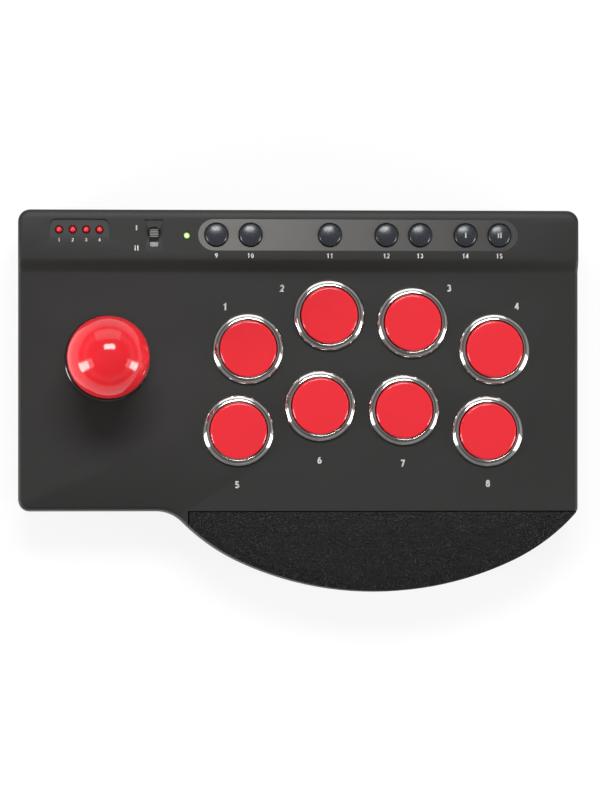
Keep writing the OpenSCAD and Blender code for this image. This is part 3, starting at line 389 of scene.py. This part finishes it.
def acetal_grey(name, tone):
    """Moulded grey acetal of the slide switch: waxy, with painted shade darkening its grooves."""
    material = moulded_plastic(name, linear(tone), 0.08, 0.5, 0.01, (0.35, 0.45), IOR=1.48)
    tree = material.node_tree
    base = tree.nodes["Principled BSDF"].inputs["Base Color"]
    # Painted shade: ambient occlusion darkens the colour in the grooves and hollows
    painted_groove_shade = add_node(
        tree,
        "ShaderNodeAmbientOcclusion",
        {"Color": base.links[0].from_socket, "Distance": 0.6 * MM},
    )
    tree.links.new(painted_groove_shade.outputs["Color"], base)
    return material


def circuit_board():
    """Glass epoxy under green solder resist: glossy, its copper tracks as lighter lines."""
    material, tree, shader, coords = new_material(
        "solder_resist_on_epoxy", IOR=1.55, Roughness=0.28
    )
    tracks = add_node(
        tree,
        "ShaderNodeTexBrick",
        {
            "Vector": coords,
            "Scale": repeat(5.5),
            "Mortar Size": 0.06,
            "Color1": linear(0x14502E),
            "Color2": linear(0x1A5A34),
            "Mortar": linear(0x3C8A4E),
        },
    )
    tree.links.new(tracks.outputs["Color"], shader.inputs["Base Color"])
    grain(tree, shader, tracks.outputs["Fac"], 0.035, 0.5)
    return material


def lamp_lens(name, core, rim, strength, reach_mm):
    """Clear epoxy lamp, lit: a bright core under the dome that falls off to its coloured rim."""
    material, tree, shader, coords = new_material(
        name, IOR=1.54, Roughness=0.12, Emission_Strength=strength
    )
    facing = add_node(tree, "ShaderNodeLayerWeight", {"Blend": 0.35})
    glow = between(tree, facing.outputs["Facing"], linear(core), linear(rim))
    tree.links.new(glow, shader.inputs["Base Color"])
    tree.links.new(glow, shader.inputs["Emission Color"])
    bubbles = add_node(
        tree, "ShaderNodeTexNoise", {"Vector": coords, "Scale": repeat(reach_mm)}
    )
    grain(tree, shader, bubbles.outputs["Fac"], 0.02, 0.2)
    return material


def leatherette():
    """Embossed PVC leatherette: pebbles and winding creases, near black, small sharp glints."""
    material, tree, shader, coords = new_material(
        "embossed_leatherette", IOR=1.5, Specular_IOR_Level=0.17
    )
    warp = add_node(
        tree, "ShaderNodeTexNoise", {"Vector": coords, "Scale": repeat(1.9), "Detail": 3}
    )
    bend = add_node(
        tree,
        "ShaderNodeVectorMath",
        {0: warp.outputs["Color"], 1: (0.9 * MM,) * 3},
        operation="MULTIPLY",
    )
    moved = add_node(
        tree,
        "ShaderNodeVectorMath",
        {0: coords, 1: bend.outputs["Vector"]},
        operation="ADD",
    )
    pebbles = add_node(
        tree,
        "ShaderNodeTexVoronoi",
        {"Vector": moved.outputs["Vector"], "Scale": repeat(0.85), "Smoothness": 0.25},
        feature="SMOOTH_F1",
    )
    winding = add_node(
        tree,
        "ShaderNodeTexNoise",
        {"Vector": moved.outputs["Vector"], "Scale": repeat(1.7), "Detail": 1},
    )
    centred = add_node(
        tree, "ShaderNodeMath", {0: winding.outputs["Fac"], 1: 0.5}, operation="SUBTRACT"
    )
    creases = add_node(
        tree, "ShaderNodeMath", {0: centred.outputs["Value"]}, operation="ABSOLUTE"
    )
    cut = add_node(
        tree,
        "ShaderNodeMapRange",
        {"Value": creases.outputs["Value"], "From Max": 0.09},
    )
    joined = add_node(
        tree,
        "ShaderNodeMath",
        {0: cut.outputs["Result"], 1: 0.9},
        operation="MULTIPLY",
    )
    height = add_node(
        tree,
        "ShaderNodeMath",
        {0: joined.outputs["Value"], 1: pebbles.outputs["Distance"]},
        operation="SUBTRACT",
    )
    # Painted shade: the creases take the darker colour and the pebbles the lighter one
    tree.links.new(
        between(tree, cut.outputs["Result"], linear(0x0A0A0A), linear(0x111111)),
        shader.inputs["Base Color"],
    )
    tree.links.new(
        spread(tree, pebbles.outputs["Distance"], 0.24, 0.5),
        shader.inputs["Roughness"],
    )
    grain(tree, shader, height.outputs["Value"], 0.24, 1.0)
    return material


def white_print():
    """Pad-printed white ink: opaque, slightly chalky, thinner in spots."""
    return moulded_plastic(
        "pad_printed_ink", linear(0xF0F0EE), 0.05, 0.12, 0.004, (0.5, 0.62), IOR=1.48
    )


# Shared mesh work


def finish_mesh(name, mesh, material, body):
    """Makes a piece from a bmesh in the row frame, in metres, and lets it ride on its body."""
    mesh.normal_update()
    data = bpy.data.meshes.new(name)
    mesh.to_mesh(data)
    mesh.free()
    data.materials.append(material)
    piece = bpy.data.objects.new(name, data)
    bpy.context.scene.collection.objects.link(piece)
    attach(piece, body)
    return piece


def smooth(piece, degrees):
    """Shades smooth, with creases kept where faces meet at more than the angle."""
    data = piece.data
    data.shade_smooth()
    data.set_sharp_from_angle(angle=math.radians(degrees))


def weld_and_smooth(piece, degrees):
    """A CAD node's faces come apart from each other, so they are joined before shading smooth."""
    weld = piece.modifiers.new("join faces", "WELD")
    weld.merge_threshold = 0.00001
    piece.data.shade_smooth()
    tree = bpy.data.node_groups.get("smooth by angle %d" % degrees)
    if tree is None:
        tree = bpy.data.node_groups.new("smooth by angle %d" % degrees, "GeometryNodeTree")
        tree.interface.new_socket("Geometry", in_out="INPUT", socket_type="NodeSocketGeometry")
        tree.interface.new_socket("Geometry", in_out="OUTPUT", socket_type="NodeSocketGeometry")
        start = add_node(tree, "NodeGroupInput")
        angle = add_node(tree, "GeometryNodeInputMeshEdgeAngle")
        flat = add_node(
            tree,
            "FunctionNodeCompare",
            {0: angle.outputs["Unsigned Angle"], 1: math.radians(degrees)},
            operation="LESS_THAN",
            data_type="FLOAT",
        )
        shade = add_node(
            tree,
            "GeometryNodeSetShadeSmooth",
            {"Geometry": start.outputs[0], "Shade Smooth": flat.outputs[0]},
            domain="EDGE",
        )
        add_node(tree, "NodeGroupOutput", {0: shade.outputs[0]})
    by_angle = piece.modifiers.new("smooth by angle", "NODES")
    by_angle.node_group = tree


def dress(names, material, degrees=35):
    """Gives CAD nodes their finish."""
    for name in names:
        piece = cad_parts[name]
        piece.data.materials.clear()
        piece.data.materials.append(material)
        weld_and_smooth(piece, degrees)


def numbered(stem, count):
    """The names of a numbered group of nodes."""
    return ["%s_%d" % (stem, i + 1) for i in range(count)]


# The case outline, as the part's source draws it, in millimetres


def arc(centre, radius, start, end, steps, open_end=False):
    """Points of an arc, counter-clockwise in plan."""
    last = steps if open_end else steps + 1
    return [
        (
            centre[0] + radius * math.cos(math.radians(start + (end - start) * i / steps)),
            centre[1] + radius * math.sin(math.radians(start + (end - start) * i / steps)),
        )
        for i in range(last)
    ]


def lobe_outline(inset, steps):
    """The outline of the curved front from the waist to the right nose, drawn in by an inset."""
    turn = math.radians(LOBE_HALF_TURN)
    shift = LOBE_R - SHOULDER_R
    lobe = (LOBE_X, FRONT_Y + LOBE_R)
    right = (lobe[0] + shift * math.sin(turn), lobe[1] - shift * math.cos(turn))
    left = (lobe[0] - shift * math.sin(turn), lobe[1] - shift * math.cos(turn))
    waist_y = SIDE_FRONT_Y - WAIST_R
    waist_x = left[0] - math.sqrt((SHOULDER_R + WAIST_R) ** 2 - (left[1] - waist_y) ** 2)
    waist_turn = math.degrees(math.atan2(left[1] - waist_y, left[0] - waist_x))
    nose_x = HALF_W - FRONT_CORNER_R
    reach = SHOULDER_R - FRONT_CORNER_R
    nose_y = right[1] - math.sqrt(reach**2 - (nose_x - right[0]) ** 2)
    nose_turn = math.degrees(math.atan2(nose_y - right[1], nose_x - right[0]))
    return (
        arc(left, SHOULDER_R - inset, 180 + waist_turn, 270 - LOBE_HALF_TURN, steps, True)
        + arc(lobe, LOBE_R - inset, 270 - LOBE_HALF_TURN, 270 + LOBE_HALF_TURN, 2 * steps, True)
        + arc(right, SHOULDER_R - inset, 270 + LOBE_HALF_TURN, 360 + nose_turn, steps, True)
        + arc((nose_x, nose_y), FRONT_CORNER_R - inset, nose_turn, 0, 8)
    )


def pad_outline(inset):
    """The wrist pad's outline: the lobe cut off at the pad's rear and left edges."""
    left = -PAD_LEFT + PAD_GAP
    rear = SIDE_FRONT_Y - PAD_SETBACK - PAD_GAP
    run = [p for p in lobe_outline(inset, 60) if p[0] > left and p[1] < rear]
    first, last = run[0], run[-1]
    return [(left, rear), (left, first[1] + (first[0] - left) * 0.8)] + run + [(last[0], rear)]


class StickSizes(bpy.types.PropertyGroup):
    """Sizes that a user would change."""

    number_height: bpy.props.FloatProperty(
        name="Number height",
        description="Height of the numbers beside the main buttons",
        default=3.4 * MM,
        unit="LENGTH",
    )
    small_number_height: bpy.props.FloatProperty(
        name="Small number height",
        description="Height of the numbers on the rear strip",
        default=2.3 * MM,
        unit="LENGTH",
    )
    lamp_number_height: bpy.props.FloatProperty(
        name="Lamp number height",
        description="Height of the numbers under the player lamps",
        default=1.7 * MM,
        unit="LENGTH",
    )
    pad_crown: bpy.props.FloatProperty(
        name="Pad crown",
        description="How far the middle of the wrist pad rises over the deck",
        default=1.1 * MM,
        unit="LENGTH",
    )
    camera_distance: bpy.props.FloatProperty(
        name="Camera distance",
        description="Distance of the camera from the case",
        default=2.0,
        unit="LENGTH",
    )


class StickColours(bpy.types.PropertyGroup):
    """Colours that a user would change."""

    case: bpy.props.FloatVectorProperty(
        name="Case",
        description="Colour of the soft-touch coat of the top case",
        subtype="COLOR",
        size=4,
        min=0,
        max=1,
        default=linear(0x1B1A19),
    )
    base: bpy.props.FloatVectorProperty(
        name="Base",
        description="Colour of the textured bottom case",
        subtype="COLOR",
        size=4,
        min=0,
        max=1,
        default=linear(0x262525),
    )
    cap: bpy.props.FloatVectorProperty(
        name="Button cap",
        description="Colour of the main button caps",
        subtype="COLOR",
        size=4,
        min=0,
        max=1,
        default=linear(0xD42832),
    )
    ball: bpy.props.FloatVectorProperty(
        name="Ball",
        description="Colour of the lever's ball top",
        subtype="COLOR",
        size=4,
        min=0,
        max=1,
        default=linear(0xD0212A),
    )
    inlay: bpy.props.FloatVectorProperty(
        name="Inlay",
        description="Colour of the inlay plate round the small buttons",
        subtype="COLOR",
        size=4,
        min=0,
        max=1,
        default=linear(0x545351),
    )


class FIGHTSTICK_OT_case(bpy.types.Operator):
    """Finishes the two case halves, feet, screws and inlet"""

    bl_idname = "fight_stick.case"
    bl_label = "Case"

    def execute(self, context):
        colours = context.scene.stick_colours
        dress(["top_shell"], case_coat(colours.case), 30)
        dress(["base_shell"], base_texture(colours.base), 30)
        dress(["rubber_feet", "cable_inlet", "menu_dome_pad"], moulded_rubber())
        dress(["inlay_plate"], satin_inlay(colours.inlay))
        screws = ["case_screws", "board_screws", "stick_screws"]
        dress(
            screws + ["stick_spring", "retaining_clip", "stick_plate"],
            zinc_steel("zinc_plated_steel", 0xAAADB1),
        )
        return {"FINISHED"}


class FIGHTSTICK_OT_buttons(bpy.types.Operator):
    """Finishes the main buttons and their switches"""

    bl_idname = "fight_stick.buttons"
    bl_label = "Main buttons"

    def execute(self, context):
        red = context.scene.stick_colours.cap
        dress(numbered("button_cap", 8), polished_red("polished_red_abs", red))
        dress(numbered("button_bezel", 8), chrome_plate(), 30)
        dress(numbered("button_switch", 8), acetal_black())
        return {"FINISHED"}


class FIGHTSTICK_OT_strip(bpy.types.Operator):
    """Finishes the small buttons, the slide switch, the lamps and the boards"""

    bl_idname = "fight_stick.strip"
    bl_label = "Rear strip"

    def execute(self, context):
        dress(numbered("menu_button", 7), gloss_black("polished_black_abs", 0x282B30, 0.18))
        dress(["slide_knob"], acetal_grey("moulded_acetal_grey", 0x6A6865))
        dress(["slide_switch_body"], acetal_grey("moulded_acetal_light_grey", 0x8C8E90))
        dress(["player_lamps"], lamp_lens("lit_red_epoxy", 0xD82A32, 0x6E0810, 0.35, 0.8))
        dress(["power_lamp"], lamp_lens("lit_green_epoxy", 0xC4EC9C, 0x3C7A34, 0.55, 0.8))
        dress(["menu_board", "main_board"], circuit_board())
        return {"FINISHED"}


class FIGHTSTICK_OT_lever(bpy.types.Operator):
    """Finishes the lever from its ball top down to its switches"""

    bl_idname = "fight_stick.lever"
    bl_label = "Lever"

    def execute(self, context):
        red = context.scene.stick_colours.ball
        dress(["ball_top"], polished_red("polished_red_phenolic", red), 40)
        dress(["stick_shaft"], zinc_steel("chromed_steel_rod", 0xC8CACE))
        dress(["pivot_ball"], natural_nylon())
        dress(
            ["dust_washer", "lower_washer"],
            gloss_black("polished_black_acetal", 0x0D0D0E, 0.1),
        )
        dress(
            ["stick_actuator", "stick_housing", "restrictor_gate", "stick_switches"],
            acetal_black(),
        )
        return {"FINISHED"}


class FIGHTSTICK_OT_wrist_pad(bpy.types.Operator):
    """Makes the leatherette wrist pad that stands for the CAD pad"""

    bl_idname = "fight_stick.wrist_pad"
    bl_label = "Wrist pad"

    def execute(self, context):
        crown = context.scene.stick_sizes.pad_crown / MM
        edge = pad_outline(PAD_INSET)
        reach = (HALF_W - LOBE_X) * PAD_SPINE_SHARE
        spine_y = (SIDE_FRONT_Y - PAD_SETBACK + FRONT_Y) / 2
        profile = list(PAD_RIM) + [
            (
                PAD_RIM[-1][0] + PAD_REACH * i / PAD_STEPS,
                crown * math.sin(math.pi / 2 * min(1, i / PAD_RISE_STEPS)),
            )
            for i in range(1, PAD_STEPS + 1)
        ]
        mesh = bmesh.new()
        rings = []
        for share, rise in profile:
            ring = []
            for x, y in edge:
                spine_x = max(LOBE_X - reach, min(LOBE_X + reach, x))
                px, py = x + share * (spine_x - x), y + share * (spine_y - y)
                z = deck_height(py) + rise
                if share > PAD_RIM_SHARE:
                    spot = Vector((px, py, PAD_WAVE_LEVEL)) * PAD_WAVE_SCALE
                    z += PAD_WAVE * noise.noise(spot)
                ring.append(mesh.verts.new(Vector((px, py, z)) * MM))
            rings.append(ring)
        count = len(edge)
        for lower, upper in zip(rings, rings[1:]):
            for i in range(count):
                j = (i + 1) % count
                mesh.faces.new((lower[i], lower[j], upper[j], upper[i]))
        mesh.faces.new(rings[-1])
        mesh.faces.new(list(reversed(rings[0])))
        bmesh.ops.triangulate(mesh, faces=[f for f in mesh.faces if len(f.verts) > 4])
        bmesh.ops.recalc_face_normals(mesh, faces=mesh.faces)
        pad = finish_mesh("wrist_pad_cover", mesh, leatherette(), "case")
        smooth(pad, 50)
        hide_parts("wrist_pad")
        return {"FINISHED"}


def oval(x, y, half_w, half_h, start, end):
    """Points along part of an oval, in shares of a digit's height."""
    turns = [math.radians(start + (end - start) * i / OVAL_STEPS) for i in range(OVAL_STEPS + 1)]
    return [(x + half_w * math.cos(a), y + half_h * math.sin(a)) for a in turns]


def digit_strokes():
    """The middle lines of plain round digits one unit high, as strokes of points."""
    six = [oval(0.3, 0.31, 0.21, 0.22, 90, 450), oval(0.5, 0.34, 0.41, 0.56, 100, 180)]
    return {
        "0": [oval(0.3, 0.5, 0.21, 0.41, 90, 450)],
        "1": [[(0.1, 0.74), (0.34, 0.9), (0.34, 0.0)]],
        "2": [oval(0.3, 0.67, 0.21, 0.24, 165, -40) + [(0.11, 0.09), (0.54, 0.09)]],
        "3": [oval(0.28, 0.7, 0.2, 0.21, 150, -90), oval(0.28, 0.3, 0.22, 0.21, 90, -150)],
        "4": [[(0.42, 0.0), (0.42, 1.0)], [(0.37, 0.93), (0.09, 0.32), (0.58, 0.32)]],
        "5": [[(0.51, 0.91), (0.16, 0.91), (0.14, 0.5)], oval(0.28, 0.31, 0.22, 0.22, 130, -150)],
        "6": six,
        "7": [[(0.06, 0.91), (0.52, 0.91), (0.24, 0.0)]],
        "8": [oval(0.3, 0.71, 0.18, 0.2, 90, 450), oval(0.3, 0.3, 0.21, 0.21, 90, 450)],
        "9": [[(0.6 - x, 1 - y) for x, y in stroke] for stroke in six],
    }


def ribbon(mesh, points, width):
    """A flat stroke along points, with mitred corners."""
    points = [Vector(p) for p in points]
    runs = [(b - a).normalized() for a, b in zip(points, points[1:])]
    rails = []
    for point, run_in, run_out in zip(points, runs[:1] + runs, runs + runs[-1:]):
        mean = (run_in + run_out).normalized()
        side = Vector((-mean.y, mean.x)) * width / 2 / mean.dot(run_out)
        rails.append([mesh.verts.new((*p, 0)) for p in (point + side, point - side)])
    for low, high in zip(rails, rails[1:]):
        mesh.faces.new((low[0], low[1], high[1], high[0]))


def print_number(name, words, place, height, material):
    """A printed number that lies on the deck or the strip, centred on its place."""
    mesh = bmesh.new()
    strokes = digit_strokes()
    for i, digit in enumerate(words):
        shift = (i - (len(words) - 1) / 2) * DIGIT_PITCH - DIGIT_W / 2
        for stroke in strokes[digit]:
            points = [((x + shift) * height, (y - 0.5) * height) for x, y in stroke]
            ribbon(mesh, points, STROKE_SHARE * height)
    bmesh.ops.solidify(mesh, geom=mesh.faces[:], thickness=PRINT_T * MM)
    mesh.transform(place)
    return finish_mesh(name, mesh, material, "case")


def cap_rise(x, y):
    """Height of a small cap's dome over the strip, at a place from its middle."""
    start = math.atan(2 * MENU_CROWN / (MENU_R - MENU_ROLL))
    edge_r = MENU_R - MENU_ROLL * (1 - math.sin(start))
    edge_h = MENU_H - MENU_ROLL * (1 - math.cos(start))
    return edge_h + MENU_CROWN * (1 - (x * x + y * y) / edge_r**2)


def print_bars(name, count, place, material, body, rise):
    """Upright printed bars side by side, laid over a surface whose rise is given."""
    mesh = bmesh.new()
    for i in range(count):
        middle = (i - (count - 1) / 2) * BAR_PITCH
        rows = [
            [
                mesh.verts.new(Vector((x, y, rise(x, y) + PRINT_LIFT)) * MM)
                for x in (middle - BAR_W / 2, middle, middle + BAR_W / 2)
            ]
            for y in (BAR_H * (k / BAR_STEPS - 0.5) for k in range(BAR_STEPS + 1))
        ]
        for low, high in zip(rows, rows[1:]):
            for k in (0, 1):
                mesh.faces.new((low[k], low[k + 1], high[k + 1], high[k]))
    bmesh.ops.solidify(mesh, geom=mesh.faces[:], thickness=PRINT_T * MM)
    mesh.transform(place)
    return finish_mesh(name, mesh, material, body)


class FIGHTSTICK_OT_prints(bpy.types.Operator):
    """Prints plain numbers beside the buttons and lamps, and plain bars by the slide switch"""

    bl_idname = "fight_stick.prints"
    bl_label = "Printed numbers"

    def execute(self, context):
        sizes = context.scene.stick_sizes
        ink = white_print()
        over_strip = strip_height() + PRINT_LIFT
        for i, (x, y) in enumerate(NUMBER_PLACES):
            place = deck_matrix(x, y, PRINT_LIFT)
            print_number("number_%d" % (i + 1), str(i + 1), place, sizes.number_height, ink)
        for i, x in enumerate(MENU_XS):
            name, words = "strip_number_%d" % (i + 1), str(i + FIRST_STRIP_NUMBER)
            place = deck_matrix(x, STRIP_NUMBER_Y, over_strip)
            print_number(name, words, place, sizes.small_number_height, ink)
        for i, x in enumerate(LAMP_XS):
            name, words = "lamp_number_%d" % (i + 1), str(i + 1)
            place = deck_matrix(x, LAMP_NUMBER_Y, over_strip)
            print_number(name, words, place, sizes.lamp_number_height, ink)
        for count, y in enumerate(SLIDE_MARK_YS, 1):
            place = deck_matrix(SLIDE_MARK_X, y, strip_height())
            print_bars("slide_mark_%d" % count, count, place, ink, "case", lambda x, y: 0)
        for count, key in enumerate(MARKED_KEYS, 1):
            place = deck_matrix(MENU_XS[key - 1], STRIP_MID_Y, strip_height())
            print_bars("cap_mark_%d" % count, count, place, ink, "menu_key_%d" % key, cap_rise)
        return {"FINISHED"}


def off_vertical(lean, azimuth):
    """A direction that leans off the vertical, towards an azimuth counted from +X, in degrees."""
    lean, azimuth = math.radians(lean), math.radians(azimuth)
    return math.sin(lean) * math.cos(azimuth), math.sin(lean) * math.sin(azimuth), math.cos(lean)


def area_light(name, direction, distance, size, power):
    """A softbox that stands in a direction from the case and faces it."""
    light = bpy.data.lights.new(name, "AREA")
    light.shape = "RECTANGLE"
    light.size, light.size_y = size
    light.energy = power
    box = bpy.data.objects.new(name, light)
    bpy.context.scene.collection.objects.link(box)
    aim = Vector(LIGHT_AIM)
    box.location = aim + Vector(direction).normalized() * distance
    box.rotation_euler = (aim - box.location).to_track_quat("-Z", "Y").to_euler()
    return box


def add_floor():
    """A plain white floor that shows white to the camera and in mirrors, with the shadow on it."""
    mesh = bmesh.new()
    bmesh.ops.create_circle(mesh, cap_ends=True, segments=96, radius=FLOOR_R)
    data = bpy.data.meshes.new("floor")
    mesh.to_mesh(data)
    mesh.free()
    floor = bpy.data.objects.new("floor", data)
    floor.location.z = -FLOOR_DROP
    bpy.context.scene.collection.objects.link(floor)
    material, tree, shader, _ = new_material(
        "matt_white_paper", Roughness=0.9, Base_Color=linear(0xF4F4F4)
    )
    rays = add_node(tree, "ShaderNodeLightPath").outputs
    seen = add_node(
        tree,
        "ShaderNodeMath",
        {0: rays["Is Camera Ray"], 1: rays["Is Glossy Ray"]},
        operation="ADD",
    )
    seen_all = add_node(
        tree,
        "ShaderNodeMath",
        {0: seen.outputs[0], 1: rays["Is Transmission Ray"]},
        operation="ADD",
        use_clamp=True,
    )
    share = add_node(
        tree, "ShaderNodeMath", {0: seen_all.outputs[0], 1: FLOOR_GLOW}, operation="MULTIPLY"
    )
    white = add_node(tree, "ShaderNodeEmission", {"Color": (1, 1, 1, 1), "Strength": 1})
    mix = add_node(
        tree,
        "ShaderNodeMixShader",
        {0: share.outputs[0], 1: shader.outputs[0], 2: white.outputs[0]},
    )
    tree.links.new(mix.outputs[0], tree.nodes["Material Output"].inputs["Surface"])
    data.materials.append(material)


def add_room():
    """Grey studio walls all round: bands by height, uneven, and lighter at the rear."""
    world = bpy.data.worlds.new("studio")
    bpy.context.scene.world = world
    world.use_nodes = True
    tree = world.node_tree
    background = tree.nodes["Background"]
    coords = add_node(tree, "ShaderNodeTexCoord").outputs["Generated"]
    parts = add_node(tree, "ShaderNodeSeparateXYZ", {0: coords})
    bands = add_node(tree, "ShaderNodeValToRGB", {"Fac": parts.outputs["Z"]})
    ramp = bands.color_ramp
    ramp.interpolation = "EASE"
    for place, grey in ROOM_BANDS[2:]:
        ramp.elements.new(place).color = (grey, grey, grey, 1)
    for element, (place, grey) in zip((ramp.elements[0], ramp.elements[-1]), ROOM_BANDS[:2]):
        element.position, element.color = place, (grey, grey, grey, 1)
    patches = add_node(tree, "ShaderNodeTexNoise", {"Vector": coords, "Scale": 1.6, "Detail": 1})
    rear = add_node(
        tree,
        "ShaderNodeMapRange",
        {
            "Value": parts.outputs["Y"],
            "From Min": -0.8,
            "From Max": 0.8,
            "To Min": 0.8,
            "To Max": 1.2,
        },
    )
    uneven = spread(tree, patches.outputs["Fac"], 0.4, 1.6)
    tint = add_node(
        tree, "ShaderNodeMath", {0: rear.outputs["Result"], 1: uneven}, operation="MULTIPLY"
    )
    room = add_node(
        tree,
        "ShaderNodeVectorMath",
        {0: bands.outputs["Color"], "Scale": tint.outputs[0]},
        operation="SCALE",
    )
    tree.links.new(room.outputs["Vector"], background.inputs["Color"])
    background.inputs["Strength"].default_value = 1.0


def add_camera(distance):
    """The photo's own camera, over its foot on the deck, turned so that the deck's rear is up."""
    scene = bpy.context.scene
    lens_data = bpy.data.cameras.new("camera")
    camera = bpy.data.objects.new("camera", lens_data)
    scene.collection.objects.link(camera)
    foot = deck_matrix(*CAMERA_FOOT, 0)
    camera.location = foot @ Vector((0, 0, distance))
    aim = Vector((AIM[0], AIM[1], deck_height(AIM[1]))) * MM
    back = (camera.location - aim).normalized()
    across = foot.to_3x3().col[1].cross(back).normalized()
    turn = Matrix((across, back.cross(across), back)).transposed()
    camera.rotation_euler = turn.to_euler()
    lens_data.sensor_width = SENSOR_W
    picture_size = PICTURE_LONG * MM_A_PIXEL * MM
    lens_data.lens = SENSOR_W * (camera.location - aim).length / picture_size
    lens_data.clip_end = VIEW_REACH
    scene.camera = camera


class FIGHTSTICK_OT_stage(bpy.types.Operator):
    """Sets the floor, the studio light and the camera"""

    bl_idname = "fight_stick.stage"
    bl_label = "Stage"

    def execute(self, context):
        context.scene.view_settings.view_transform = "Standard"
        add_floor()
        add_room()
        for name, lean, azimuth, distance, size, power in SOFTBOXES:
            area_light(name, off_vertical(lean, azimuth), distance, size, power)
        add_camera(context.scene.stick_sizes.camera_distance)
        return {"FINISHED"}


class FIGHTSTICK_PT_panel(bpy.types.Panel):
    """Lists the stick's sizes, colours and pieces"""

    bl_label = "Fight stick"
    bl_idname = "FIGHTSTICK_PT_panel"
    bl_space_type = "VIEW_3D"
    bl_region_type = "UI"
    bl_category = "Fight stick"

    def draw(self, context):
        column = self.layout.column()
        for group in (context.scene.stick_sizes, context.scene.stick_colours):
            for name in group.__annotations__:
                column.prop(group, name)
        for operator in OPERATORS:
            column.operator(operator.bl_idname)


OPERATORS = (
    FIGHTSTICK_OT_stage,
    FIGHTSTICK_OT_case,
    FIGHTSTICK_OT_wrist_pad,
    FIGHTSTICK_OT_buttons,
    FIGHTSTICK_OT_strip,
    FIGHTSTICK_OT_lever,
    FIGHTSTICK_OT_prints,
)
CLASSES = (StickSizes, StickColours) + OPERATORS + (FIGHTSTICK_PT_panel,)


def register():
    for cls in CLASSES:
        bpy.utils.register_class(cls)
    bpy.types.Scene.stick_sizes = bpy.props.PointerProperty(type=StickSizes)
    bpy.types.Scene.stick_colours = bpy.props.PointerProperty(type=StickColours)


def unregister():
    del bpy.types.Scene.stick_colours
    del bpy.types.Scene.stick_sizes
    for cls in reversed(CLASSES):
        bpy.utils.unregister_class(cls)


def main():
    register()
    for operator in OPERATORS:
        group, name = operator.bl_idname.split(".")
        getattr(getattr(bpy.ops, group), name)()


if __name__ == "__main__":
    main()
